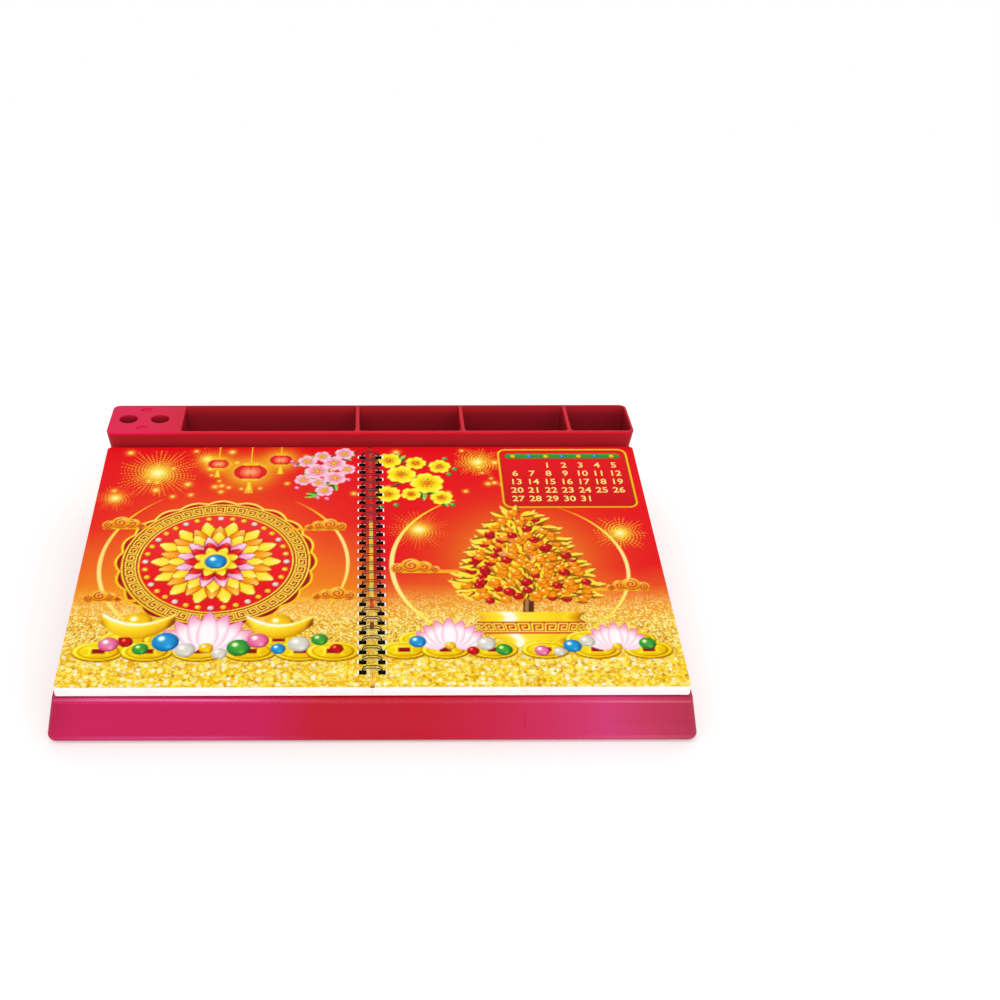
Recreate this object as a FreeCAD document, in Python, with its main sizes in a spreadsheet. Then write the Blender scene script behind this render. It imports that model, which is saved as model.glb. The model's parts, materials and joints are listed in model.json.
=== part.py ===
import FreeCAD, Part
import math
import os
import re
import Sketcher

# Desk calendar with drawer, in millimetres.
# +X is to the right, +Y to the back and +Z up. The origin is on the desk, under the middle of the object.
# A sloping deck carries a wire-bound calendar that lies open, a pen tray stands behind it, and the
# front panel belongs to a drawer under the deck.

# ---------------------------------------------------------------- driving sizes

SIZES = {
    # sheets of the calendar
    "page_length": 236.0,
    "cover_width": 178.8,
    "cover_spine_gap": 1.2,
    "leaf_spine_gap": 0.05,
    "cover_corner_radius": 2.5,
    "leaf_corner_cut": 1.0,
    "cover_thickness": 0.45,
    "leaf_thickness": 0.16,
    "sheet_gap": 0.02,
    "leaves_each_side": 26,
    "board_thickness": 1.2,
    "tape_thickness": 0.5,
    "tape_width": 20.0,
    "tape_end_margin": 18.0,
    "tape_offset": 90.0,
    "turned_cover_gap": 0.25,
    # binding wire and its holes
    "hole_inner": 3.3,
    "hole_width": 4.4,
    "hole_length": 4.0,
    "loop_pitch": 8.467,
    "loop_margin": 10.0,
    "wire_radius": 0.4,
    "twin_spacing": 2.0,
    "loop_leg": 5.7,
    "loop_rise": 4.0,
    "loop_top_radius": 3.4,
    "loop_bottom_radius": 1.6,
    "wire_board_gap": 0.3,
    "backbone_offset": 0.8,
    "backbone_radius": 0.8,
    "tip_offset": 1.6,
    # base shell
    "slope_angle": 7.6,
    "front_margin": 6.3,
    "deck_front_height": 29.5,
    "deck_margin": 1.6,
    "deck_thickness": 2.5,
    "wall": 2.0,
    "foot_height": 1.0,
    "page_gap": 3.8,
    "rear_wall_drop": 3.0,
    "base_corner_radius": 7.0,
    "base_edge_radius": 0.8,
    "trough_half_width": 8.25,
    "trough_depth": 1.8,
    "trough_floor": 1.6,
    "trough_end_margin": 4.0,
    "well_floor_height": 19.0,
    "well_floor_thickness": 2.0,
    # bottom plate, screws and feet
    "plate_thickness": 2.0,
    "plate_gap": 0.4,
    "boss_radius": 3.0,
    "boss_inset": 6.1,
    "boss_end_margin": 12.0,
    "boss_embed": 1.2,
    "rear_boss_inset": 16.0,
    "rear_boss_margin": 21.0,
    "screw_radius": 1.25,
    "screw_head_radius": 2.5,
    "pan_head_height": 1.2,
    "screw_length": 8.0,
    "screw_bore_spare": 1.0,
    "thread_gap": 0.05,
    "foot_radius": 7.0,
    "foot_inset": 24.0,
    "foot_front_margin": 24.0,
    "foot_rear_margin": 20.0,
    "foot_edge_radius": 0.3,
    # pen tray
    "tray_depth": 44.0,
    "rim_rise": 15.0,
    "tray_draft": 8.0,
    "pocket_draft": 7.0,
    "tray_clearance": 0.3,
    "tray_corner_radius": 5.2,
    "pocket_corner_radius": 2.5,
    "rim_front_width": 3.5,
    "rim_width": 1.7,
    "rim_edge_radius": 0.6,
    "divider_width": 2.5,
    "pen_block_width": 51.4,
    "second_pocket_width": 70.3,
    "third_pocket_width": 71.0,
    "fourth_pocket_width": 41.3,
    "tray_floor_rise": 8.0,
    "tray_floor_thickness": 2.0,
    "tray_skirt": 2.0,
    "block_top_thickness": 2.5,
    "pen_hole_radius": 6.5,
    "pen_hole_depth": 40.0,
    "pen_tube_wall": 1.5,
    "pen_hole_inset": 13.1,
    "pen_hole_spacing": 22.0,
    "dimple_radius": 3.7,
    "dimple_depth": 0.8,
    "dimple_offset": 13.9,
    "tray_boss_inset": 28.0,
    # drawer
    "drawer_travel": 150.0,
    "drawer_rear_clearance": 15.0,
    "drawer_floor_gap": 1.0,
    "drawer_top_gap": 2.4,
    "drawer_wall": 1.8,
    "drawer_floor": 1.8,
    "drawer_side_gap": 0.5,
    "drawer_corner_radius": 4.0,
    "ledge_width": 3.5,
    "ledge_thickness": 2.0,
    "ledge_length": 60.0,
    "ledge_height": 10.0,
    "groove_gap": 0.3,
    "runner_width": 5.5,
    "runner_boss_gap": 1.5,
    "runner_end": 3.0,
    "runner_roof": 3.5,
    "runner_screw_margin": 14.0,
    # drawer front
    "panel_depth": 9.0,
    "panel_gap": 0.3,
    "panel_lean": 3.5,
    "panel_flare": 5.0,
    "panel_floor_gap": 0.2,
    "panel_top_gap": 0.5,
    "panel_wall": 2.5,
    "panel_edge_radius": 3.0,
    "panel_corner_radius": 4.5,
    "panel_boss_radius": 3.5,
    "panel_boss_spacing": 92.0,
    "panel_boss_height": 14.5,
    "panel_screw_length": 6.0,
    "cut_overrun": 1.0,
}

# Sizes that follow from the driving ones. A word that is a key here or in SIZES stands for its value.
FORMULAS = {
    "page_half": "cover_spine_gap + cover_width",
    "deck_half": "page_half + deck_margin",
    # positions from front to back
    "rim_setback": "wall + tray_clearance - (rim_rise + rear_wall_drop) * tan(tray_draft)",
    "overall_depth": "front_margin + page_length * cos(slope_angle) + page_gap + tray_depth + rim_setback",
    "front_y": "-overall_depth / 2",
    "rear_y": "overall_depth / 2",
    "stack_y": "front_y + front_margin",
    "shell_front_y": "front_y + panel_depth + panel_gap",
    "rim_rear_y": "rear_y - rim_setback",
    "rim_front_y": "rim_rear_y - tray_depth",
    "rim_middle_y": "rim_rear_y - tray_depth / 2",
    "well_wall_y": "rim_front_y - wall",
    # heights
    "deck_rear_height": "deck_front_height + (rim_front_y - stack_y) * tan(slope_angle)",
    "rim_height": "deck_rear_height + rim_rise",
    "rear_wall_height": "deck_rear_height - rear_wall_drop",
    "rim_half": "deck_half - wall - tray_clearance + (rim_rise + rear_wall_drop) * tan(tray_draft)",
    "plate_top": "foot_height + plate_thickness",
    # sheets, counted up from the deck
    "leaf_pitch": "leaf_thickness + sheet_gap",
    "board_level": "tape_thickness",
    "leaf_level": "board_level + board_thickness + sheet_gap",
    "title_level": "leaf_level + leaves_each_side * leaf_pitch",
    "cover_level": "title_level + leaf_pitch",
    "axis_level": "cover_level + cover_thickness + turned_cover_gap / 2",
    "loop_count": "floor((page_length - 2 * loop_margin) / loop_pitch) + 1",
    "first_loop": "(page_length - (loop_count - 1) * loop_pitch) / 2",
    "last_loop": "first_loop + (loop_count - 1) * loop_pitch",
    # screws
    "boss_x": "deck_half - boss_inset",
    "rear_boss_x": "deck_half - rear_boss_inset",
    "head_depth": "screw_head_radius - screw_radius",
    "screw_bore_radius": "screw_radius + thread_gap",
    # drawer
    "runner_outer_x": "boss_x - boss_radius - runner_boss_gap",
    "runner_inner_x": "runner_outer_x - runner_width",
    "drawer_half": "runner_inner_x - drawer_side_gap",
    "drawer_rear_y": "well_wall_y - drawer_rear_clearance",
    "drawer_front_y": "front_y + panel_depth",
    "drawer_bottom": "plate_top + drawer_floor_gap",
    "drawer_top": "deck_front_height - deck_thickness - drawer_top_gap",
    "ledge_bottom": "drawer_bottom + ledge_height",
    "ledge_front_y": "drawer_rear_y - ledge_length",
    "groove_front_y": "ledge_front_y - drawer_travel - groove_gap",
    "groove_rear_y": "drawer_rear_y + groove_gap",
    "runner_front_y": "groove_front_y - runner_end",
    "runner_rear_y": "groove_rear_y + runner_end",
    "groove_top": "ledge_bottom + ledge_thickness + groove_gap",
    "runner_top": "groove_top + runner_roof",
    "runner_middle_x": "(runner_inner_x + runner_outer_x) / 2",
    # drawer front
    "panel_bottom": "foot_height + panel_floor_gap",
    "panel_top": "deck_front_height - panel_top_gap",
    "panel_rear_y": "front_y + panel_depth",
    "panel_half": "deck_half + panel_flare",
    # pen tray
    "tray_height": "rim_height - well_floor_height",
    "foot_narrowing": "tray_height * tan(tray_draft)",
    "tray_floor_top": "well_floor_height + tray_floor_rise + tray_floor_thickness",
    "pocket_depth": "rim_height - tray_floor_top",
    "pocket_narrowing": "pocket_depth * tan(pocket_draft)",
    "block_end_x": "-rim_half + pen_block_width",
    "fourth_pocket_end": "rim_half - rim_width",
    "fourth_pocket_start": "fourth_pocket_end - fourth_pocket_width",
    "third_pocket_end": "fourth_pocket_start - divider_width",
    "third_pocket_start": "third_pocket_end - third_pocket_width",
    "second_pocket_end": "third_pocket_start - divider_width",
    "second_pocket_start": "second_pocket_end - second_pocket_width",
    "first_pocket_end": "second_pocket_start - divider_width",
    "pen_x": "-rim_half + pen_hole_inset",
    "pen_floor": "rim_height - pen_hole_depth",
    "tray_boss_start": "block_end_x + tray_boss_inset",
    "tray_boss_end": "rim_half - foot_narrowing - tray_boss_inset",
}

POCKETS = (
    ("block_end_x", "first_pocket_end"),
    ("second_pocket_start", "second_pocket_end"),
    ("third_pocket_start", "third_pocket_end"),
    ("fourth_pocket_start", "fourth_pocket_end"),
)

PARTS_FOLDER = "parts"

doc = FreeCAD.newDocument("DeskCalendar")
sheet = doc.addObject("Spreadsheet::Sheet", "Sizes")
nodes = []


def fill_sheet():
    """Write the driving sizes into the spreadsheet, one alias to a row."""
    for row, (name, value) in enumerate(SIZES.items(), start=1):
        sheet.set("A%d" % row, name)
        sheet.set("B%d" % row, repr(value))
        sheet.setAlias("B%d" % row, name)
    doc.recompute()


def expand(text):
    """Turn words into spreadsheet references and formulas in brackets."""

    def swap(match):
        word = match.group(0)
        if word in FORMULAS:
            return "(" + expand(FORMULAS[word]) + ")"
        if word in SIZES:
            return "Sizes." + word
        return word

    return re.sub(r"[A-Za-z_]+", swap, text)


def size(text):
    """The value of a size or formula, in millimetres or degrees."""
    return float(sheet.evalExpression(expand(text)))


def bind(item, prop, text):
    """Bind a property of a document object to a formula of the sheet."""
    item.setExpression(prop, expand(text))


# ---------------------------------------------------------------- sketches and features


def new_body(name):
    """Start a sub-part whose label is its node's name."""
    body = doc.addObject("PartDesign::Body", name)
    body.Label = name
    nodes.append(body)
    return body


def new_sketch(body, plane, height="0"):
    """Make a sketch on one of the body's origin planes, moved along that plane's normal."""
    planes = {feature.Role: feature for feature in body.Origin.OriginFeatures}
    sketch = body.newObject("Sketcher::SketchObject", body.Name + "_sketch")
    sketch.AttachmentSupport = [(planes[plane], "")]
    sketch.MapMode = "FlatFace"
    bind(sketch, "AttachmentOffset.Base.z", height)
    return sketch


def pin_point(sketch, geometry, vertex, x_text, y_text):
    """Place a point of a sketch at two formulas."""
    for kind, text in (("DistanceX", x_text), ("DistanceY", y_text)):
        place = Sketcher.Constraint(kind, -1, 1, geometry, vertex, size(text))
        index = sketch.addConstraint(place)
        label = "%s_%d_%d" % (kind, geometry, vertex)
        sketch.renameConstraint(index, label)
        bind(sketch, "Constraints." + label, text)


def add_polygon(sketch, corners):
    """Add a closed outline with straight sides through the given corners."""
    first = sketch.GeometryCount
    points = [FreeCAD.Vector(size(x), size(y), 0) for x, y in corners]
    count = len(points)
    for index in range(count):
        line = Part.LineSegment(points[index], points[(index + 1) % count])
        sketch.addGeometry(line)
    for index in range(count):
        following = first + (index + 1) % count
        sketch.addConstraint(Sketcher.Constraint("Coincident", first + index, 2, following, 1))
    for index, (x, y) in enumerate(corners):
        pin_point(sketch, first + index, 1, x, y)


def add_rectangle(sketch, x_low, x_high, y_low, y_high):
    """Add a rectangle between two formulas each way."""
    add_polygon(sketch, [(x_low, y_low), (x_high, y_low), (x_high, y_high), (x_low, y_high)])


def add_circle(sketch, x, y, radius):
    """Add a circle with its centre and radius on formulas."""
    centre = FreeCAD.Vector(size(x), size(y), 0)
    index = sketch.addGeometry(Part.Circle(centre, FreeCAD.Vector(0, 0, 1), size(radius)))
    pin_point(sketch, index, 3, x, y)
    number = sketch.addConstraint(Sketcher.Constraint("Radius", index, size(radius)))
    label = "Radius_%d" % index
    sketch.renameConstraint(number, label)
    bind(sketch, "Constraints." + label, radius)


def add_extrusion(body, kind, sketch, length, symmetric=False, reverse=False):
    """Pad or pocket a sketch by a formula."""
    feature = body.newObject("PartDesign::" + kind, body.Name + "_" + kind.lower())
    feature.Profile = sketch
    bind(feature, "Length", length)
    if symmetric:
        feature.SideType = "Symmetric"
    feature.Reversed = reverse
    sketch.Visibility = False
    return feature


def pad(body, sketch, length, symmetric=False, reverse=False):
    """Add material along the sketch's normal."""
    return add_extrusion(body, "Pad", sketch, length, symmetric, reverse)


def pocket(body, sketch, length, symmetric=False, reverse=False):
    """Remove material against the sketch's normal, or along it when reversed."""
    return add_extrusion(body, "Pocket", sketch, length, symmetric, reverse)


def edges_where(shape, test):
    """Names of the edges whose two ends and length pass a test."""
    names = []
    for index, edge in enumerate(shape.Edges, start=1):
        if test(edge):
            names.append("Edge%d" % index)
    return names


def fillet(body, radius, test):
    """Round the edges of the body's tip that pass a test."""
    doc.recompute()
    base = body.Tip
    feature = body.newObject("PartDesign::Fillet", body.Name + "_fillet")
    feature.Base = (base, edges_where(base.Shape, test))
    bind(feature, "Radius", radius)
    return feature


def chamfer(body, cut, test):
    """Cut the corners of the body's tip along the edges that pass a test."""
    doc.recompute()
    base = body.Tip
    feature = body.newObject("PartDesign::Chamfer", body.Name + "_chamfer")
    feature.Base = (base, edges_where(base.Shape, test))
    bind(feature, "Size", cut)
    return feature


def near(value, text):
    """Whether a coordinate lies at a formula."""
    return abs(value - size(text)) < 0.01


def is_straight(edge):
    """Whether an edge is as long as the distance between its ends."""
    ends = edge.Vertexes
    return len(ends) == 2 and abs(edge.Length - ends[0].distToShape(ends[1])[0]) < 0.001


def rise_of(edge):
    """Height between an edge's lowest and highest point."""
    return edge.BoundBox.ZLength


def is_upright(edge):
    """Whether an edge climbs more than it runs sideways."""
    return rise_of(edge) > edge.Length / 2


# ---------------------------------------------------------------- base shell


def deck_height(y_text, below="0"):
    """Formula for the height of the deck's top over a Y position, or of a level below it."""
    rise = "(%s - stack_y) * tan(slope_angle)" % y_text
    return "deck_front_height + %s - (%s) / cos(slope_angle)" % (rise, below)


def deck_point(along, above):
    """Y and Z formulas of a point given along the deck and above it."""
    y = "stack_y + (%s) * cos(slope_angle) - (%s) * sin(slope_angle)" % (along, above)
    z = "deck_front_height + (%s) * sin(slope_angle) + (%s) * cos(slope_angle)" % (along, above)
    return y, z


BOSS_ROWS = (
    "shell_front_y + boss_end_margin",
    "(shell_front_y + well_wall_y) / 2",
    "well_wall_y - boss_end_margin",
)
REAR_BOSS_ROW = "rear_y - rear_boss_margin"


def make_base_shell():
    """Shell with the sloping deck, its bosses and the well that holds the pen tray."""
    body = new_body("base_shell")
    side = new_sketch(body, "YZ_Plane")
    add_polygon(side, [
        ("shell_front_y", "foot_height"),
        ("rear_y", "foot_height"),
        ("rear_y", "rear_wall_height"),
        ("rim_front_y", "rear_wall_height"),
        ("rim_front_y", "deck_rear_height"),
        ("shell_front_y", deck_height("shell_front_y")),
    ])
    pad(body, side, "2 * deck_half", symmetric=True)

    bay = new_sketch(body, "YZ_Plane")
    add_polygon(bay, [
        ("shell_front_y - wall", "0"),
        ("well_wall_y", "0"),
        ("well_wall_y", deck_height("well_wall_y", "deck_thickness")),
        ("shell_front_y - wall", deck_height("(shell_front_y - wall)", "deck_thickness")),
    ])
    pocket(body, bay, "2 * (deck_half - wall)", symmetric=True)

    under = new_sketch(body, "XY_Plane", "well_floor_height - well_floor_thickness")
    inner_half = "deck_half - wall"
    add_rectangle(under, "-(%s)" % inner_half, inner_half, "well_wall_y - cut_overrun", "rear_y - wall")
    pocket(body, under, "well_floor_height")
    fillet(body, "base_corner_radius - wall", lambda edge: (
        is_straight(edge)
        and near(edge.BoundBox.YMin, "rear_y - wall")
        and is_upright(edge)
    ))

    well = new_sketch(body, "XY_Plane", "well_floor_height")
    add_rectangle(well, "-(%s)" % inner_half, inner_half, "rim_front_y", "rear_y - wall")
    pocket(body, well, "rim_height", reverse=True)
    fillet(body, "base_corner_radius - wall", lambda edge: (
        is_straight(edge)
        and near(edge.BoundBox.YMin, "rear_y - wall")
        and near(edge.BoundBox.ZMax, "rear_wall_height")
        and is_upright(edge)
    ))

    fillet(body, "base_corner_radius", lambda edge: (
        is_straight(edge)
        and near(edge.BoundBox.YMin, "rear_y")
        and near(rise_of(edge), "rear_wall_height - foot_height")
    ))

    rib = new_sketch(body, "YZ_Plane")
    rib_start = "first_loop - trough_end_margin - wall"
    rib_end = "last_loop + trough_end_margin + wall"
    rib_depth = "-trough_depth - trough_floor"
    add_polygon(rib, [
        deck_point(rib_start, "-deck_thickness / 2"),
        deck_point(rib_end, "-deck_thickness / 2"),
        deck_point(rib_end, rib_depth),
        deck_point(rib_start, rib_depth),
    ])
    pad(body, rib, "2 * (trough_half_width + wall)", symmetric=True)
    trough = new_sketch(body, "YZ_Plane")
    add_polygon(trough, [
        deck_point("first_loop - trough_end_margin", "deck_thickness"),
        deck_point("last_loop + trough_end_margin", "deck_thickness"),
        deck_point("last_loop + trough_end_margin", "-trough_depth"),
        deck_point("first_loop - trough_end_margin", "-trough_depth"),
    ])
    pocket(body, trough, "2 * trough_half_width", symmetric=True)

    for row in BOSS_ROWS:
        bosses = new_sketch(body, "XY_Plane", "plate_top")
        add_circle(bosses, "-boss_x", row, "boss_radius")
        add_circle(bosses, "boss_x", row, "boss_radius")
        pad(body, bosses, deck_height("(%s)" % row, "deck_thickness") + " + boss_embed - plate_top")
    rear = new_sketch(body, "XY_Plane", "plate_top")
    add_circle(rear, "-rear_boss_x", REAR_BOSS_ROW, "boss_radius")
    add_circle(rear, "rear_boss_x", REAR_BOSS_ROW, "boss_radius")
    pad(body, rear, "well_floor_height - well_floor_thickness / 2 - plate_top")

    bores = new_sketch(body, "XY_Plane", "plate_top")
    for x, y in base_screw_places():
        add_circle(bores, x, y, "screw_bore_radius")
    pocket(body, bores, "screw_length - plate_thickness + screw_bore_spare", reverse=True)

    passages = new_sketch(body, "XY_Plane", "well_floor_height - well_floor_thickness")
    for x, y in tray_screw_places():
        add_circle(passages, x, y, "screw_bore_radius")
    pocket(body, passages, "well_floor_thickness", reverse=True)

    fillet(body, "base_edge_radius", lambda edge: (
        is_straight(edge)
        and near(abs(edge.BoundBox.XMin), "deck_half")
        and near(abs(edge.BoundBox.XMax), "deck_half")
        and edge.BoundBox.ZMin > size("deck_front_height")
        and edge.BoundBox.YLength > size("page_length") / 2
    ))


def base_screw_places():
    """X and Y formulas of the screws that hold the bottom plate."""
    places = []
    for row in BOSS_ROWS:
        places += [("-boss_x", row), ("boss_x", row)]
    places += [("-rear_boss_x", REAR_BOSS_ROW), ("rear_boss_x", REAR_BOSS_ROW)]
    return places


def tray_screw_places():
    """X and Y formulas of the screws that hold the pen tray, in a row under its pockets."""
    step = "(tray_boss_end - tray_boss_start) / 3"
    return [("tray_boss_start + %d * %s" % (number, step), "rim_middle_y") for number in range(4)]


def runner_screw_places(sign):
    """X and Y formulas of the screws that hold one runner."""
    return [
        (sign + "runner_middle_x", "runner_front_y + runner_screw_margin"),
        (sign + "runner_middle_x", "(runner_front_y + runner_rear_y) / 2"),
        (sign + "runner_middle_x", "runner_rear_y - runner_screw_margin"),
    ]


# ---------------------------------------------------------------- bottom plate, screws and feet


def make_bottom_plate():
    """Flat plate inside the shell's walls, with countersunk holes."""
    body = new_body("bottom_plate")
    outline = new_sketch(body, "XY_Plane", "foot_height")
    half = "deck_half - wall - plate_gap"
    add_rectangle(outline, "-(%s)" % half, half, "shell_front_y", "rear_y - wall - plate_gap")
    pad(body, outline, "plate_thickness")
    fillet(body, "base_corner_radius - wall", lambda edge: (
        is_upright(edge) and edge.BoundBox.YMin > 0
    ))
    places = base_screw_places() + runner_screw_places("-") + runner_screw_places("")
    holes = new_sketch(body, "XY_Plane", "foot_height")
    for x, y in places:
        add_circle(holes, x, y, "screw_bore_radius")
    pocket(body, holes, "plate_thickness", reverse=True)
    chamfer(body, "head_depth", lambda edge: (
        not is_straight(edge)
        and near(edge.BoundBox.ZMax, "foot_height")
        and near(edge.BoundBox.XLength, "2 * screw_bore_radius")
    ))


def screw_shape(length, flat_head):
    """One screw along +Z, its head's outer face at the origin, countersunk or flat."""
    shank = size("screw_radius")
    head = size("screw_head_radius")
    if flat_head:
        shoulder = size("pan_head_height")
        head_point = FreeCAD.Vector(head, 0, shoulder)
    else:
        shoulder = size("head_depth")
        head_point = None
    tip = shank / 2
    points = [FreeCAD.Vector(0, 0, 0), FreeCAD.Vector(head, 0, 0)]
    if head_point:
        points.append(head_point)
    points += [
        FreeCAD.Vector(shank, 0, shoulder),
        FreeCAD.Vector(shank, 0, length - shank),
        FreeCAD.Vector(tip, 0, length),
        FreeCAD.Vector(0, 0, length),
    ]
    face = Part.Face(Part.makePolygon(points + [points[0]]))
    return face.revolve(FreeCAD.Vector(0, 0, 0), FreeCAD.Vector(0, 0, 1), 360)


def add_group(name, shapes):
    """Put separate solids into one named sub-part."""
    feature = doc.addObject("Part::Feature", name)
    feature.Label = name
    feature.Shape = Part.makeCompound(shapes)
    feature.Placement = FreeCAD.Placement()
    nodes.append(feature)
    return feature


def make_screws():
    """The upright screws: plate to shell, plate to runners, and well floor to tray."""
    upright = screw_shape(size("screw_length"), False)
    runner_places = runner_screw_places("-") + runner_screw_places("")
    for name, places in (("base_screws", base_screw_places()), ("runner_screws", runner_places)):
        height = size("foot_height")
        spots = [FreeCAD.Vector(size(x), size(y), height) for x, y in places]
        add_group(name, [upright.translated(spot) for spot in spots])
    panned = screw_shape(size("screw_length"), True)
    height = size("well_floor_height - well_floor_thickness - pan_head_height")
    spots = [FreeCAD.Vector(size(x), size(y), height) for x, y in tray_screw_places()]
    add_group("tray_screws", [panned.translated(spot) for spot in spots])


def make_foot(name, x, y):
    """Round rubber foot stuck under the bottom plate."""
    body = new_body(name)
    disc = new_sketch(body, "XY_Plane")
    add_circle(disc, "0", "0", "foot_radius")
    pad(body, disc, "foot_height")
    fillet(body, "foot_edge_radius", lambda edge: (
        not is_straight(edge) and near(edge.BoundBox.ZMax, "0")
    ))
    bind(body, "Placement.Base.x", x)
    bind(body, "Placement.Base.y", y)


def make_feet():
    """Four feet, one near each corner."""
    right = "deck_half - foot_inset"
    front = "shell_front_y + foot_front_margin"
    rear = "rear_y - foot_rear_margin"
    make_foot("foot_front_left", "-(%s)" % right, front)
    make_foot("foot_front_right", right, front)
    make_foot("foot_rear_left", "-(%s)" % right, rear)
    make_foot("foot_rear_right", right, rear)


# ---------------------------------------------------------------- pen tray


def tapered_box(body, kind, box, low, high, inset):
    """Box with flat sides that close in by an inset at its low end, as an upright wedge."""
    x_low, x_high, y_low, y_high = box
    wedge = body.newObject("PartDesign::" + kind, body.Name + "_wedge")
    # The wedge narrows along its own Y axis, so it is turned to stand on that axis: its Z is then -Y.
    wedge.Placement = FreeCAD.Placement(FreeCAD.Vector(0, 0, 0), FreeCAD.Rotation(FreeCAD.Vector(1, 0, 0), 90))
    corners = {
        "Xmin": "%s + %s" % (x_low, inset),
        "Xmax": "%s - %s" % (x_high, inset),
        "Zmin": "-(%s - %s)" % (y_high, inset),
        "Zmax": "-(%s + %s)" % (y_low, inset),
        "X2min": x_low,
        "X2max": x_high,
        "Z2min": "-(%s)" % y_high,
        "Z2max": "-(%s)" % y_low,
        "Ymin": low,
        "Ymax": high,
    }
    for prop, text in corners.items():
        bind(wedge, prop, text)
    return wedge


def is_pocket_corner(edge):
    """Whether an edge runs up a sharp corner of one of the tray's pockets."""
    return (
        is_straight(edge)
        and near(edge.BoundBox.ZMin, "tray_floor_top")
        and is_upright(edge)
    )


def make_pen_tray():
    """Tapered tray with a pen block at its left end and a row of open pockets."""
    body = new_body("pen_tray")
    outer = ("-rim_half", "rim_half", "rim_front_y", "rim_rear_y")
    tapered_box(body, "AdditiveWedge", outer, "well_floor_height", "rim_height", "foot_narrowing")
    for x_low, x_high in POCKETS:
        box = (x_low, x_high, "rim_front_y + rim_front_width", "rim_rear_y - rim_width")
        tapered_box(body, "SubtractiveWedge", box, "tray_floor_top", "rim_height", "pocket_narrowing")
    fillet(body, "pocket_corner_radius", lambda edge: (
        is_pocket_corner(edge) and not near(edge.BoundBox.XMax, "fourth_pocket_end")
    ))
    fillet(body, "tray_corner_radius - rim_width", lambda edge: (
        is_pocket_corner(edge) and near(edge.BoundBox.XMax, "fourth_pocket_end")
    ))
    fillet(body, "tray_corner_radius", lambda edge: (
        is_straight(edge)
        and near(edge.BoundBox.ZMin, "well_floor_height")
        and is_upright(edge)
    ))

    skirt = "foot_narrowing + tray_skirt"
    x_right = "rim_half - " + skirt
    x_left = "-rim_half + " + skirt
    y_front = "rim_front_y + " + skirt
    y_rear = "rim_rear_y - " + skirt
    under = new_sketch(body, "XY_Plane", "well_floor_height")
    add_rectangle(under, x_left, x_right, y_front, y_rear)
    pocket(body, under, "tray_floor_rise", reverse=True)
    hollow = new_sketch(body, "XY_Plane", "well_floor_height")
    add_rectangle(hollow, x_left, "block_end_x - tray_skirt", y_front, y_rear)
    pocket(body, hollow, "tray_height - block_top_thickness", reverse=True)

    tubes = new_sketch(body, "XY_Plane", "pen_floor - pen_tube_wall")
    add_circle(tubes, "pen_x", "rim_middle_y", "pen_hole_radius + pen_tube_wall")
    add_circle(tubes, "pen_x + pen_hole_spacing", "rim_middle_y", "pen_hole_radius + pen_tube_wall")
    pad(body, tubes, "pen_hole_depth + pen_tube_wall - block_top_thickness / 2")
    bosses = new_sketch(body, "XY_Plane", "well_floor_height")
    for x, y in tray_screw_places():
        add_circle(bosses, x, y, "boss_radius")
    pad(body, bosses, "tray_floor_rise + tray_floor_thickness / 2")
    bores = new_sketch(body, "XY_Plane", "well_floor_height")
    for x, y in tray_screw_places():
        add_circle(bores, x, y, "screw_bore_radius")
    reach = "screw_length - well_floor_thickness - pan_head_height"
    pocket(body, bores, reach + " + screw_bore_spare", reverse=True)

    holes = new_sketch(body, "XY_Plane", "rim_height")
    add_circle(holes, "pen_x", "rim_middle_y", "pen_hole_radius")
    add_circle(holes, "pen_x + pen_hole_spacing", "rim_middle_y", "pen_hole_radius")
    pocket(body, holes, "pen_hole_depth")
    dimples = new_sketch(body, "XY_Plane", "rim_height")
    dimple_x = "pen_x + pen_hole_spacing / 2"
    add_circle(dimples, dimple_x, "rim_middle_y - dimple_offset", "dimple_radius")
    add_circle(dimples, dimple_x, "rim_middle_y + dimple_offset", "dimple_radius")
    pocket(body, dimples, "dimple_depth")

    fillet(body, "rim_edge_radius", lambda edge: (
        near(edge.BoundBox.ZMin, "rim_height")
        and near(edge.BoundBox.ZMax, "rim_height")
        and not near(edge.BoundBox.YLength, "2 * pen_hole_radius")
    ))


# ---------------------------------------------------------------- drawer


def make_drawer_tray():
    """Open box with a ledge on each side at its rear end, which runs in the runners."""
    body = new_body("drawer_tray")
    outline = new_sketch(body, "XY_Plane", "drawer_bottom")
    add_rectangle(outline, "-drawer_half", "drawer_half", "drawer_front_y", "drawer_rear_y")
    pad(body, outline, "drawer_top - drawer_bottom")
    inside = new_sketch(body, "XY_Plane", "drawer_top")
    inner = "drawer_half - drawer_wall"
    inner_front = "drawer_front_y + drawer_wall"
    inner_rear = "drawer_rear_y - drawer_wall"
    add_rectangle(inside, "-(%s)" % inner, inner, inner_front, inner_rear)
    pocket(body, inside, "drawer_top - drawer_bottom - drawer_floor")
    fillet(body, "drawer_corner_radius", lambda edge: (
        is_straight(edge)
        and near(edge.BoundBox.ZMin, "drawer_bottom + drawer_floor")
        and is_upright(edge)
    ))
    ledges = new_sketch(body, "XY_Plane", "ledge_bottom")
    root = "drawer_half - drawer_wall / 2"
    edge = "drawer_half + ledge_width"
    add_rectangle(ledges, root, edge, "ledge_front_y", "drawer_rear_y")
    add_rectangle(ledges, "-(%s)" % edge, "-(%s)" % root, "ledge_front_y", "drawer_rear_y")
    pad(body, ledges, "ledge_thickness")
    bores = new_sketch(body, "XZ_Plane", "-drawer_front_y - drawer_wall")
    for x in panel_screw_places():
        add_circle(bores, x, "panel_boss_height", "screw_bore_radius")
    pocket(body, bores, "drawer_wall", reverse=True)


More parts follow.
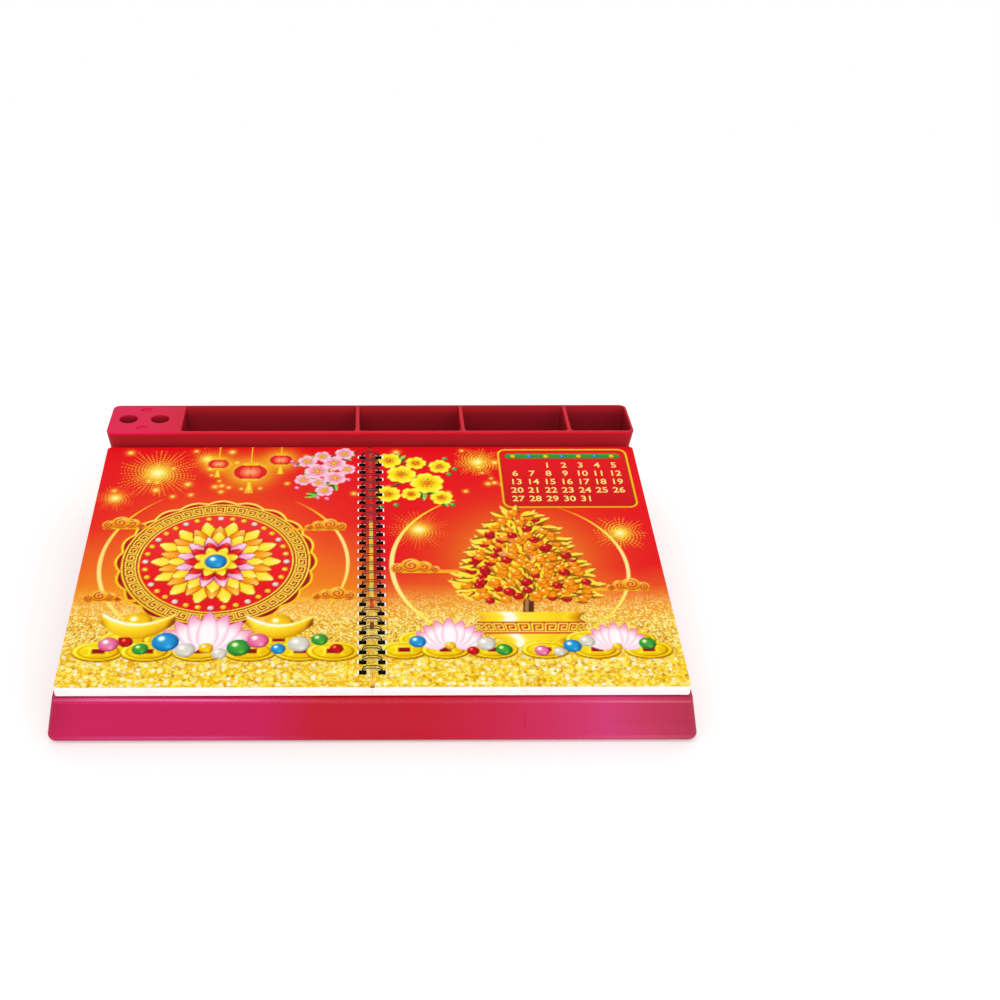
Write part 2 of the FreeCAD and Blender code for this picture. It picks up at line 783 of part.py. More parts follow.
def panel_screw_places():
    """X formulas of the screws between drawer and front panel."""
    return [
        "-1.5 * panel_boss_spacing",
        "-0.5 * panel_boss_spacing",
        "0.5 * panel_boss_spacing",
        "1.5 * panel_boss_spacing",
    ]


def make_drawer_front():
    """Leaning front panel, wider at its foot, hollow behind, with screw bosses."""
    body = new_body("drawer_front")
    side = new_sketch(body, "YZ_Plane")
    add_polygon(side, [
        ("front_y", "panel_bottom"),
        ("panel_rear_y", "panel_bottom"),
        ("panel_rear_y", "panel_top"),
        ("front_y + panel_lean", "panel_top"),
    ])
    pad(body, side, "2 * panel_half", symmetric=True)
    ends = new_sketch(body, "XZ_Plane", "-panel_rear_y - cut_overrun")
    for sign in ("", "-"):
        add_polygon(ends, [
            (sign + "panel_half", "panel_bottom"),
            (sign + "(panel_half + cut_overrun)", "panel_bottom"),
            (sign + "(panel_half + cut_overrun)", "panel_top + cut_overrun"),
            (sign + "deck_half", "panel_top + cut_overrun"),
            (sign + "deck_half", "panel_top"),
        ])
    pocket(body, ends, "panel_depth + 2 * cut_overrun", reverse=True)
    fillet(body, "panel_corner_radius", lambda edge: (
        near(edge.BoundBox.ZMin, "panel_bottom")
        and near(edge.BoundBox.ZMax, "panel_bottom")
        and near(edge.BoundBox.XLength, "0")
    ))
    fillet(body, "panel_edge_radius", lambda edge: (
        not near(edge.BoundBox.YMax, "panel_rear_y")
    ))

    hollow = new_sketch(body, "XZ_Plane", "-panel_rear_y")
    inset_half = "deck_half - panel_wall"
    low = "panel_bottom + panel_wall"
    high = "panel_top - panel_wall"
    add_rectangle(hollow, "-(%s)" % inset_half, inset_half, low, high)
    pocket(body, hollow, "panel_depth - panel_wall - panel_lean", reverse=True)
    bosses = new_sketch(body, "XZ_Plane", "-panel_rear_y")
    for x in panel_screw_places():
        add_circle(bosses, x, "panel_boss_height", "panel_boss_radius")
    pad(body, bosses, "panel_depth - panel_wall - panel_lean / 2")
    bores = new_sketch(body, "XZ_Plane", "-panel_rear_y")
    for x in panel_screw_places():
        add_circle(bores, x, "panel_boss_height", "screw_bore_radius")
    pocket(body, bores, "panel_screw_length - drawer_wall + screw_bore_spare / 2", reverse=True)


def make_drawer_front_screws():
    """Screws from inside the drawer into the bosses of the front panel."""
    forward = FreeCAD.Rotation(FreeCAD.Vector(0, 0, 1), FreeCAD.Vector(0, -1, 0))
    head_y = size("drawer_front_y + drawer_wall + pan_head_height")
    height = size("panel_boss_height")
    length = size("panel_screw_length + pan_head_height")
    screws = []
    for x in panel_screw_places():
        screw = screw_shape(length, True)
        screw.Placement = FreeCAD.Placement(FreeCAD.Vector(size(x), head_y, height), forward)
        screws.append(screw)
    add_group("drawer_front_screws", screws)


def make_runner(name, sign):
    """Bar on the bottom plate with a groove, closed at both ends, that carries the ledge."""
    body = new_body(name)
    bar = new_sketch(body, "XY_Plane", "plate_top")
    inner = sign + "runner_inner_x"
    outer = sign + "runner_outer_x"
    add_rectangle(bar, inner, outer, "runner_front_y", "runner_rear_y")
    pad(body, bar, "runner_top - plate_top")
    groove = new_sketch(body, "XY_Plane", "ledge_bottom - groove_gap")
    depth = sign + "(drawer_half + ledge_width + groove_gap)"
    add_rectangle(groove, sign + "(runner_inner_x - cut_overrun)", depth, "groove_front_y", "groove_rear_y")
    pocket(body, groove, "ledge_thickness + 2 * groove_gap", reverse=True)
    bores = new_sketch(body, "XY_Plane", "plate_top")
    for x, y in runner_screw_places(sign):
        add_circle(bores, x, y, "screw_bore_radius")
    pocket(body, bores, "screw_length - plate_thickness + screw_bore_spare", reverse=True)


# ---------------------------------------------------------------- calendar


def tilt(body):
    """Lay a body's own XY plane on the deck, its origin at the stack's front edge."""
    turn = FreeCAD.Rotation(FreeCAD.Vector(1, 0, 0), 1)
    body.Placement = FreeCAD.Placement(FreeCAD.Vector(0, 0, 0), turn)
    bind(body, "Placement.Base.y", "stack_y")
    bind(body, "Placement.Base.z", "deck_front_height")
    bind(body, "Placement.Rotation.Angle", "slope_angle")


def add_holes(body, level, thickness, signs):
    """Row of square holes for the wire, one column for each sign."""
    first = new_sketch(body, "XY_Plane", level)
    for sign in signs:
        add_rectangle(
            first,
            sign + "hole_inner",
            sign + "(hole_inner + hole_width)",
            "first_loop - hole_length / 2",
            "first_loop + hole_length / 2",
        )
    cut = pocket(body, first, thickness, reverse=True)
    row = body.newObject("PartDesign::LinearPattern", body.Name + "_row")
    row.Originals = [cut]
    row.Direction = (first, ["V_Axis"])
    bind(row, "Length", "(loop_count - 1) * loop_pitch")
    bind(row, "Occurrences", "loop_count")
    body.Tip = row


def make_sheet(name, sign, spine_gap, level, thickness):
    """One page-sized sheet on one side of the binding."""
    body = new_body(name)
    outline = new_sketch(body, "XY_Plane", level)
    add_rectangle(outline, sign + spine_gap, sign + "page_half", "0", "page_length")
    pad(body, outline, thickness)
    return body


def outer_corners(edge):
    """Whether an edge of a sheet stands at one of its corners away from the binding."""
    return is_upright(edge) and near(abs(edge.BoundBox.XMin), "page_half")


def make_calendar():
    """Tapes, backing board, leaves, title leaves and covers, from the deck upwards."""
    for name, sign in (("adhesive_strip_left", "-"), ("adhesive_strip_right", "")):
        strip = new_body(name)
        outline = new_sketch(strip, "XY_Plane")
        add_rectangle(
            outline,
            sign + "tape_offset - tape_width / 2",
            sign + "tape_offset + tape_width / 2",
            "tape_end_margin",
            "page_length - tape_end_margin",
        )
        pad(strip, outline, "tape_thickness")
        tilt(strip)

    board = new_body("backing_board")
    outline = new_sketch(board, "XY_Plane", "board_level")
    add_rectangle(outline, "-page_half", "page_half", "0", "page_length")
    pad(board, outline, "board_thickness")
    chamfer(board, "leaf_corner_cut", outer_corners)
    add_holes(board, "board_level", "board_thickness", ("", "-"))
    tilt(board)

    for side, sign in (("left", "-"), ("right", "")):
        title = make_sheet(side + "_title_leaf", sign, "leaf_spine_gap", "title_level", "leaf_thickness")
        chamfer(title, "leaf_corner_cut", outer_corners)
        add_holes(title, "title_level", "leaf_thickness", (sign,))
        tilt(title)
        doc.recompute()
        make_leaves(side + "_leaves", title)
        cover = make_sheet(side + "_cover", sign, "cover_spine_gap", "cover_level", "cover_thickness")
        fillet(cover, "cover_corner_radius", outer_corners)
        add_holes(cover, "cover_level", "cover_thickness", (sign,))
        tilt(cover)


def make_leaves(name, title):
    """Inner leaves under a title leaf, each a separate solid of the same outline."""
    slope = math.radians(size("slope_angle"))
    down = FreeCAD.Vector(0, math.sin(slope), -math.cos(slope))
    pitch = size("leaf_pitch")
    count = round(size("leaves_each_side"))
    leaves = []
    for number in range(1, count + 1):
        leaves.append(title.Shape.translated(down * (pitch * number)))
    add_group(name, leaves)


class WirePath:
    """Path of straight runs and arcs, drawn from where the last piece ended."""

    def __init__(self, start, heading):
        self.place = start
        self.heading = heading
        self.edges = []

    def run_to(self, distance):
        """Go straight ahead."""
        end = self.place + self.heading * distance
        self.edges.append(Part.LineSegment(self.place, end).toShape())
        self.place = end

    def turn(self, toward, radius, angle=90):
        """Follow an arc that bends toward a direction square to the heading."""
        centre = self.place + toward * radius
        half = math.radians(angle / 2)
        full = math.radians(angle)
        middle = centre - toward * (radius * math.cos(half)) + self.heading * (radius * math.sin(half))
        end = centre - toward * (radius * math.cos(full)) + self.heading * (radius * math.sin(full))
        self.edges.append(Part.Arc(self.place, middle, end).toShape())
        self.place = end
        self.heading = (toward * math.sin(full) + self.heading * math.cos(full)).normalize()


def wire_unit():
    """Path of one double loop: backbone, out along one wire, round the tip and back along the other."""
    right = FreeCAD.Vector(1, 0, 0)
    along = FreeCAD.Vector(0, 1, 0)
    up = FreeCAD.Vector(0, 0, 1)
    leg = size("loop_leg")
    top_radius = size("loop_top_radius")
    bottom_radius = size("loop_bottom_radius")
    bend = size("backbone_radius")
    backbone = size("backbone_offset")
    tip = size("tip_offset")
    spacing = size("twin_spacing")
    low = size("board_level - wire_board_gap - wire_radius")
    high = size("axis_level + loop_rise")
    leg_run = high - low - top_radius - bottom_radius
    top_run = 2 * (leg - top_radius)
    start = FreeCAD.Vector(backbone, -spacing / 2 - bend, low)
    path = WirePath(start, along)
    path.turn(right, bend)
    path.run_to(leg - bottom_radius - backbone - bend)
    path.turn(up, bottom_radius)
    path.run_to(leg_run)
    path.turn(-right, top_radius)
    path.run_to(top_run)
    path.turn(-up, top_radius)
    path.run_to(leg_run)
    path.turn(right, bottom_radius)
    path.run_to(leg - bottom_radius - tip)
    path.turn(along, spacing / 2, 180)
    path.run_to(leg - bottom_radius - tip)
    path.turn(up, bottom_radius)
    path.run_to(leg_run)
    path.turn(right, top_radius)
    path.run_to(top_run)
    path.turn(-up, top_radius)
    path.run_to(leg_run)
    path.turn(-right, bottom_radius)
    path.run_to(leg - bottom_radius - backbone - bend)
    path.turn(along, bend)
    return path


def sweep_round(edges, radius):
    """Round bar along joined edges."""
    wire = Part.Wire(edges)
    first = edges[0]
    start = first.valueAt(first.FirstParameter)
    heading = first.tangentAt(first.FirstParameter)
    ring = Part.Wire(Part.makeCircle(radius, start, heading))
    return wire.makePipeShell([ring], True, False)


def make_binding_wire():
    """The whole wire: a row of double loops joined by straight pieces of backbone."""
    pitch = size("loop_pitch")
    count = round(size("loop_count"))
    radius = size("wire_radius")
    unit = wire_unit()
    link_length = pitch - size("twin_spacing + 2 * backbone_radius")
    pieces = []
    shape = sweep_round(unit.edges, radius)
    unit.run_to(link_length)
    link_edge = unit.edges[-1]
    link = sweep_round([link_edge], radius)
    for number in range(count):
        shift = FreeCAD.Vector(0, size("first_loop") + number * pitch, 0)
        pieces.append(shape.translated(shift))
        if number < count - 1:
            pieces.append(link.translated(shift))
    wire = pieces[0].multiFuse(pieces[1:])
    feature = doc.addObject("Part::Feature", "binding_wire")
    feature.Label = "binding_wire"
    feature.Shape = wire
    place = FreeCAD.Vector(0, size("stack_y"), size("deck_front_height"))
    turn = FreeCAD.Rotation(FreeCAD.Vector(1, 0, 0), size("slope_angle"))
    feature.Placement = FreeCAD.Placement(place, turn)
    nodes.append(feature)


# ---------------------------------------------------------------- build, check and write


def check_document():
    """Stop if any object failed or any sub-part has no valid solid."""
    for item in doc.Objects:
        if "Invalid" in item.State or "Error" in item.State:
            raise RuntimeError("%s failed: %s" % (item.Name, item.State))
    for node in nodes:
        shape = node.Shape
        if shape.isNull() or not shape.isValid() or not shape.Solids:
            raise RuntimeError("%s has no valid solid" % node.Label)


def write_parts():
    """Write each sub-part to its own STEP file."""
    os.makedirs(PARTS_FOLDER, exist_ok=True)
    for node in nodes:
        node.Shape.exportStep(os.path.join(PARTS_FOLDER, node.Label + ".step"))
        print("%-22s %3d solids %12.1f mm3" % (node.Label, len(node.Shape.Solids), node.Shape.Volume))


def main():
    """Build every sub-part, check them and write them."""
    fill_sheet()
    make_base_shell()
    make_bottom_plate()
    make_screws()
    make_feet()
    make_pen_tray()
    make_drawer_tray()
    make_drawer_front()
    make_drawer_front_screws()
    make_runner("runner_left", "-")
    make_runner("runner_right", "")
    make_calendar()
    make_binding_wire()
    doc.recompute()
    check_document()
    write_parts()


main()
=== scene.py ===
"""Looks of a desk calendar with drawer.

A moulded stand carries a wire-bound calendar on its sloping deck, a pen tray behind it and a shallow drawer
under it.  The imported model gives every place.  The covers and the wire are worked out here as surfaces on
numpy grids, the printed numbers come from the built-in font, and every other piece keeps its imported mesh
and gets its finish.  Lengths on the calendar are millimetres along the deck, lengths in the meshes are
metres.
"""

from __future__ import annotations

import json
import logging
import math
from dataclasses import dataclass, field
from enum import Enum
from typing import Any

import bpy
import numpy as np
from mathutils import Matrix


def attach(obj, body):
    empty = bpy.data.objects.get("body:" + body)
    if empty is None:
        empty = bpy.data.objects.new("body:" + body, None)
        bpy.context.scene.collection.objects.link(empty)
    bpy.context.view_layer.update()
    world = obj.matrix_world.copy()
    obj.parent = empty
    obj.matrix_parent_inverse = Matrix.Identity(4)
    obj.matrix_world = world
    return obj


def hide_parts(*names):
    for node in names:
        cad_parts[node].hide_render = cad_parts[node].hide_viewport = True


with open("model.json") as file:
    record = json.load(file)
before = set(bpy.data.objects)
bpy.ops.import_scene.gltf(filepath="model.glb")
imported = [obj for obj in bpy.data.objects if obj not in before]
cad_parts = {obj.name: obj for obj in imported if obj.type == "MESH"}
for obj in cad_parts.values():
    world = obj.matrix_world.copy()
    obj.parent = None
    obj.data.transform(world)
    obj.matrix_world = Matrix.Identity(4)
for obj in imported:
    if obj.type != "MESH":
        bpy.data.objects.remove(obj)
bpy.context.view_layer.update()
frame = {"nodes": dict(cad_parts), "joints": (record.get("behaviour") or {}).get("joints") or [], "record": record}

log = logging.getLogger("desk_calendar")
Floats = np.ndarray
Socket = bpy.types.NodeSocket
Material = bpy.types.Material
Piece = bpy.types.Object
Pair = tuple[float, float]
Stops = tuple[tuple[float, int], ...]
MM = 0.001
TURN = math.tau
INK_LAYER = "ink"

# The wire's loops, from the front edge of the sheets; the punched holes follow them
LOOPS = 26
LOOP_PITCH = 8.467
FIRST_LOOP = 12.1625


# ---- colour


def rgb(code: int) -> Floats:
    """sRGB numbers from 0 to 1 of a colour written as 0xRRGGBB."""
    return np.array([code >> 16 & 255, code >> 8 & 255, code & 255]) / 255


def linear(colour: Floats) -> Floats:
    """Linear light of sRGB numbers: c / 12.92 near black, else ((c + 0.055) / 1.055) to the power 2.4."""
    colour = np.clip(colour, 0, 1)
    return np.where(colour <= 0.04045, colour / 12.92, ((colour + 0.055) / 1.055) ** 2.4)


def paint(code: int) -> tuple[float, float, float, float]:
    """Linear colour with full alpha, as shader sockets take it."""
    return (*linear(rgb(code)).tolist(), 1.0)


# ---- shader graphs


class Graph:
    """Node tree of a material or of the world, with short calls for the nodes that the finishes share.

    A value is a socket to link or a constant, and a share is a value from 0 to 1.
    """

    def __init__(self, owner: bpy.types.ID) -> None:
        """Start with an empty tree.

        Args:
            owner: the material or world.
        """
        owner.use_nodes = True
        self.owner = owner
        self.tree = owner.node_tree
        self.tree.nodes.clear()

    def node(self, kind: str, inputs: dict[Any, Any] | None = None, **settings: Any) -> bpy.types.Node:
        """New node.

        Args:
            kind: of node.
            inputs: values by the name or number of their input.
            settings: its other properties.

        Returns:
            The node.
        """
        node = self.tree.nodes.new(kind)
        for name, value in settings.items():
            setattr(node, name, value)
        for key, value in (inputs or {}).items():
            if isinstance(value, Socket):
                self.tree.links.new(value, node.inputs[key])
            else:
                node.inputs[key].default_value = value
        return node

    def math(self, operation: str, *values: Any, clamp: bool = False) -> Socket:
        """Result of one Math node."""
        node = self.node("ShaderNodeMath", dict(enumerate(values)), operation=operation, use_clamp=clamp)
        return node.outputs[0]

    def times(self, first: Any, *others: Any) -> Any:
        """Product of several values."""
        for other in others:
            first = self.math("MULTIPLY", first, other)
        return first

    def scaled(self, value: Any, factor: float, plus: Any) -> Socket:
        """Value times a factor, plus another value."""
        return self.math("MULTIPLY_ADD", value, factor, plus)

    def climb(self, value: Any, low: float, high: float) -> Socket:
        """Share that climbs smoothly from 0 at low to 1 at high, or falls where low is the larger.

        Args:
            value: what it follows.
            low: where it is 0.
            high: where it is 1.

        Returns:
            The share.
        """
        inputs = {"Value": value, "From Min": min(low, high), "From Max": max(low, high)}
        inputs |= {"To Min": 0, "To Max": 1} if low < high else {"To Min": 1, "To Max": 0}
        return self.node("ShaderNodeMapRange", inputs, interpolation_type="SMOOTHSTEP", clamp=True).outputs[0]

    def band(self, value: Any, low: float, high: float, soft: float) -> Socket:
        """Share that is 1 from low to high and 0 outside, with soft edges."""
        rise = self.climb(value, low - soft, low + soft)
        return self.times(rise, self.climb(value, high + soft, high - soft))

    def mix(self, share: Any, first: Any, second: Any, how: str = "MIX") -> Socket:
        """Colour between two, or one over the other in a given way."""
        inputs = {0: share, 6: first, 7: second}
        return self.node("ShaderNodeMix", inputs, data_type="RGBA", blend_type=how).outputs[2]

    def tint(self, base: Any, code: int, *shares: Any) -> Socket:
        """Colour with another, written as 0xRRGGBB, over it by the product of the shares."""
        return self.mix(self.times(*shares), base, paint(code))

    def ramp(self, value: Any, stops: Stops) -> Socket:
        """Colour ramp.

        Args:
            value: place on the ramp.
            stops: a place and a colour 0xRRGGBB for each stop.

        Returns:
            The colour.
        """
        node = self.node("ShaderNodeValToRGB", {0: value})
        elements = node.color_ramp.elements
        while len(elements) < len(stops):
            elements.new(0.5)
        for element, (place, code) in zip(elements, stops):
            element.position = place
            element.color = paint(code)
        return node.outputs[0]

    def place(self, scale: float = 1 / MM, turn: float = 0, shift: Any = (0, 0, 0)) -> Socket:
        """Object coordinates times a scale, turned about X by radians and then shifted."""
        inputs = {"Vector": self.node("ShaderNodeTexCoord").outputs["Object"], "Location": shift}
        inputs |= {"Scale": (scale, scale, scale), "Rotation": (turn, 0, 0)}
        return self.node("ShaderNodeMapping", inputs).outputs[0]

    def split(self, vector: Socket) -> list[Socket]:
        """The three numbers of a vector."""
        return list(self.node("ShaderNodeSeparateXYZ", {0: vector}).outputs)

    def stretch(self, vector: Socket, factors: tuple[float, float, float]) -> Socket:
        """Vector with each number times its own factor."""
        return self.node("ShaderNodeVectorMath", {0: vector, 1: factors}, operation="MULTIPLY").outputs[0]

    def noise(self, vector: Socket, size: float, detail: float = 3, rough: float = 0.5) -> Socket:
        """Soft noise whose blots are about a size across."""
        inputs = {"Vector": vector, "Scale": 1 / size, "Detail": detail, "Roughness": rough}
        return self.node("ShaderNodeTexNoise", inputs).outputs["Fac"]

    def cells(self, vector: Socket, size: float, flat: bool = False) -> tuple[Socket, Socket, Socket]:
        """Scattered cells.

        Args:
            vector: place.
            size: distance from cell to cell.
            flat: the third number is left out.

        Returns:
            Distance to the nearest cell's middle, and two numbers drawn for that cell.
        """
        inputs = {"Vector": vector, "Scale": 1 / size, "Randomness": 0.8}
        node = self.node("ShaderNodeTexVoronoi", inputs, voronoi_dimensions="2D" if flat else "3D")
        drawn = self.node("ShaderNodeSeparateColor", {0: node.outputs["Color"]})
        return node.outputs["Distance"], drawn.outputs[0], drawn.outputs[1]

    def bump(self, height: Any, depth: float) -> Socket:
        """Normal bent by a height that is 1 for a depth in metres."""
        return self.node("ShaderNodeBump", {"Distance": depth, "Height": height}).outputs[0]

    def finish(self, colour: Any, rough: Any, normal: Any, shine: float = 0.5, metal: float = 0) -> Material:
        """Principled surface.

        Args:
            colour: base colour.
            rough: roughness.
            normal: bent normal.
            shine: specular level.
            metal: 1 for bare metal.

        Returns:
            The finished material.
        """
        inputs = {"Base Color": colour, "Roughness": rough, "Normal": normal}
        inputs |= {"Specular IOR Level": shine, "Metallic": metal}
        shader = self.node("ShaderNodeBsdfPrincipled", inputs)
        self.node("ShaderNodeOutputMaterial", {"Surface": shader.outputs[0]})
        return self.owner


# ---- the deck's axes


@dataclass(frozen=True)
class Deck:
    """Sloping axes of the calendar: across, up the slope and out of it, from the binding axis' front end.

    The origin is in metres, and lengths along the axes are in millimetres.
    """

    origin: Floats
    slope: float

    @classmethod
    def of(cls, joints: list[dict[str, Any]]) -> Deck:
        """Deck of the hinge that the right cover turns on, whose axis points down the slope.

        Args:
            joints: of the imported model.

        Returns:
            The deck.
        """
        hinge = next(joint for joint in joints if joint["name"] == "right_cover_turn")
        _, along, up = hinge["axis"]
        return cls(np.array(hinge["pos_m"], float), math.atan2(-up, -along))

    @property
    def axes(self) -> Floats:
        """One row for each axis."""
        sine, cosine = math.sin(self.slope), math.cos(self.slope)
        return np.array([(1, 0, 0), (0, cosine, sine), (0, -sine, cosine)])

    def world(self, places: Floats) -> Floats:
        """Places along the deck's axes as points in metres."""
        return self.origin + places @ self.axes * MM

    def extent(self, node: str) -> tuple[Floats, Floats]:
        """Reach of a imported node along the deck's axes.

        Args:
            node: its name.

        Returns:
            The lowest and the highest place.
        """
        mesh = frame["nodes"][node].data
        points = np.zeros(len(mesh.vertices) * 3, np.float32)
        mesh.vertices.foreach_get("co", points)
        places = (points.reshape(-1, 3) - self.origin) @ self.axes.T / MM
        return places.min(axis=0), places.max(axis=0)

    def coordinates(self, graph: Graph) -> Socket:
        """The same axes in a shader, in millimetres."""
        return graph.place(1 / MM, -self.slope, (-(self.axes @ self.origin) / MM).tolist())


# ---- finishes


@dataclass(frozen=True)
class Finish:
    """Named finish, whose subclasses say how the surface looks at a place."""

    name: str

    def place(self, graph: Graph) -> Socket:
        """Where the pattern lies: object coordinates in millimetres."""
        return graph.place()

    def surface(self, graph: Graph, place: Socket) -> Material:
        """Look of the surface.

        Args:
            graph: of the material.
            place: where, in millimetres.

        Returns:
            The finished material.
        """
        raise NotImplementedError

    def material(self) -> Material:
        """The finish as a material."""
        graph = Graph(bpy.data.materials.new(self.name))
        return self.surface(graph, self.place(graph))


@dataclass(frozen=True, kw_only=True)
class Moulded(Finish):
    """Glossy moulded plastic.

    Its colour drifts with the melt's flow, in soft streaks along X, and the surface has a faint orange peel.
    Rubbed spots change the roughness a little.
    """

    drift: int
    rough: float = 0.3
    peel: float = 0.00002
    peel_size: float = 2.4
    shine: float = 0.28

    def base(self, graph: Graph, place: Socket, flow: Socket) -> Any:
        """Colour before the drift.

        Args:
            graph: of the material.
            place: where, in millimetres.
            flow: noise stretched along X.

        Returns:
            The colour.
        """
        raise NotImplementedError

    def surface(self, graph: Graph, place: Socket) -> Material:
        """Drifting colour, rubbed spots and orange peel."""
        flow = graph.noise(graph.stretch(place, (0.2, 1, 1.6)), 40, 2, 0.45)
        colour = graph.tint(self.base(graph, place, flow), self.drift, graph.climb(flow, 0.35, 0.75), 0.3)
        scuff = graph.noise(graph.stretch(place, (1, 0.12, 1)), 1.7, 2, 0.7)
        rough = graph.scaled(graph.climb(scuff, 0.55, 0.8), 0.08, self.rough)
        rough = graph.scaled(graph.noise(place, 9, 3, 0.55), 0.06, rough)
        peel = graph.noise(place, self.peel_size, 2, 0.4)
        return graph.finish(colour, rough, graph.bump(peel, self.peel), self.shine)


@dataclass(frozen=True, kw_only=True)
class Plastic(Moulded):
    """Moulded plastic of one colour."""

    colour: int

    def base(self, graph: Graph, place: Socket, flow: Socket) -> Any:
        """The one colour."""
        return paint(self.colour)


@dataclass(frozen=True, kw_only=True)
class TrayPlastic(Plastic):
    """Plastic of the tray: deeper red painted shade in the pockets, a clearer painted highlight on the rim's top,
    and a pink painted sheen on the pen block's top.
    """

    # deep: painted shade on the pockets' walls and floors
    deep: int = 0x8C1823
    # rim: painted highlight on the rim's top faces
    rim: int = 0xD4142C
    # block: pink painted sheen on the pen block's top
    block: int = 0xE2144C
    pockets: Pair = (104.5, 142.4)
    half: float = 180.4
    pocket_level: float = 68.0
    rim_level: float = 75.0
    block_end: float = -138.0

    def base(self, graph: Graph, place: Socket, flow: Socket) -> Any:
        """Colour by the place in the tray, with painted shade in the pockets and painted highlights on the top
        faces.
        """
        x, y, z = graph.split(place)
        ends = graph.climb(graph.math("ABSOLUTE", x), self.half, self.half - 1.5)
        # Painted shade inside the pockets, below the rim and away from the end walls
        inside = (graph.band(y, *self.pockets, 0.8), graph.climb(z, self.rim_level, self.pocket_level), ends)
        wall = graph.tint(paint(self.colour), self.deep, *inside)
        back = self.pockets[1]
        # Painted highlight on the rim's top, fading back to the body colour at the rear lip
        rim = graph.tint(paint(self.rim), self.colour, graph.climb(y, back - 4, back))
        # Pink painted sheen on the pen block's top, blending into the rim's painted highlight
        top = graph.mix(graph.climb(x, self.block_end - 24, self.block_end + 28), paint(self.block), rim)
        # Faces above the rim level take the painted highlight and sheen
        return graph.mix(graph.climb(z, self.rim_level - 0.6, self.rim_level + 0.6), wall, top)


@dataclass(frozen=True, kw_only=True)
class ZonedPlastic(Moulded):
    """Plastic of the drawer's front, whose red leans to pink in zones along X, a painted sheen that the melt's
    flow noise shifts.

    The upper edge's rounding has a paler painted highlight in zones of its own, and the lower one a weaker one.  A
    faint knit line stands where two streams of the melt met.
    """

    reach: float = 186.6
    shift: float = 30.0
    # upper, tilt, lower, lower_share: bands of the painted highlights on the rounded upper and lower edges, and
    # the lower one's strength
    upper: Pair = (27.6, 28.2)
    tilt: float = 0.0042
    lower: Pair = (3.4, 5.6)
    lower_share: float = 0.3
    knit: Pair = (86.35, 86.65)
    knit_span: Pair = (10.5, 20.5)
    knit_colour: int = 0x5C0818
    knit_share: float = 0.75
    # Pink painted sheen in zones along X over the red
    zones: Stops = (
        (0, 0xB01444), (0.05, 0xBF1654), (0.34, 0xBF1250), (0.42, 0xB60E1C), (0.6, 0xB80E1E),
        (0.7, 0xBE1A3C), (0.78, 0xC42A58), (0.87, 0xC83A74), (0.93, 0xBA3458), (1, 0xA42C46),
    )
    # Colours of the painted highlight along the rounded edges
    polish: Stops = (
        (0, 0xC03060), (0.08, 0xDC5C98), (0.26, 0xE06AA8), (0.36, 0xC83468), (0.46, 0xB81024),
        (0.66, 0xBC1838), (0.8, 0xCC3C6C), (0.9, 0xE0708C), (1, 0xC84860),
    )

    def base(self, graph: Graph, place: Socket, flow: Socket) -> Any:
        """Colour of the painted sheen zone, of the painted highlight on the rounding, or of the knit line."""
        x, _, z = graph.split(place)
        across = graph.math("ADD", x, graph.scaled(flow, self.shift, -self.shift / 2))
        share = graph.math("DIVIDE", graph.math("ADD", across, self.reach), 2 * self.reach)
        # Painted highlight: slanted along X on the upper rounding, weaker on the lower one
        below = graph.times(graph.band(z, *self.lower, 0.8), self.lower_share)
        above = graph.band(graph.scaled(x, self.tilt, z), *self.upper, 0.4)
        highlight = graph.math("MAXIMUM", below, above)
        colour = graph.mix(highlight, graph.ramp(share, self.zones), graph.ramp(share, self.polish))
        knit = (graph.band(x, *self.knit, 0.25), self.knit_share, graph.band(z, *self.knit_span, 2))
        return graph.tint(colour, self.knit_colour, *knit)


@dataclass(frozen=True)
class GrainedPlastic(Finish):
    """Matt plastic with spark-eroded grain: cells of two sizes make the height, and the pits are darker."""

    colour: int
    pit: int
    rough: float = 0.5
    grain: float = 0.8
    depth: float = 0.00012

    def surface(self, graph: Graph, place: Socket) -> Material:
        """Grain, dark pits and wide blots."""
        coarse = graph.noise(place, self.grain, 3, 0.65)
        pits, _, _ = graph.cells(place, self.grain * 0.8)
        height = graph.scaled(pits, 0.5, coarse)
        blot = graph.noise(place, 26)
        colour = graph.tint(paint(self.colour), self.pit, graph.climb(height, 0.95, 0.5), 0.5)
        colour = graph.tint(colour, self.pit, graph.climb(blot, 0.45, 0.75), 0.35)
        rough = graph.scaled(coarse, 0.16, self.rough - 0.06)
        return graph.finish(colour, rough, graph.bump(height, self.depth))


@dataclass(frozen=True)
class Steel(Finish):
    """Zinc-plated screw steel: fine scratches change its gloss, and small stains its colour."""

    colour: int = 0xC9CBCF
    cast: int = 0xB9AE94

    def surface(self, graph: Graph, place: Socket) -> Material:
        """Scratches and stains on the plating."""
        stain = graph.noise(place, 2.2, 4, 0.6)
        scratch = graph.noise(graph.stretch(place, (6, 0.6, 6)), 1.2, 3, 0.6)
        colour = graph.tint(paint(self.colour), self.cast, graph.climb(stain, 0.4, 0.75))
        rough = graph.scaled(scratch, 0.25, 0.2)
        return graph.finish(colour, rough, graph.bump(scratch, 0.00001), metal=1)


@dataclass(frozen=True)
class Rubber(Finish):
    """Soft black rubber with a fine moulded grain and a dusty bloom."""

    colour: int = 0x26272B
    bloom: int = 0x6A6B70

    def surface(self, graph: Graph, place: Socket) -> Material:
        """Grain under patches of bloom."""
        grain = graph.noise(place, 0.35, 3, 0.6)
        dusty = graph.noise(place, 5, 4, 0.6)
        colour = graph.tint(paint(self.colour), self.bloom, graph.climb(dusty, 0.45, 0.8), 0.5)
        return graph.finish(colour, graph.scaled(grain, 0.15, 0.68), graph.bump(grain, 0.00006))


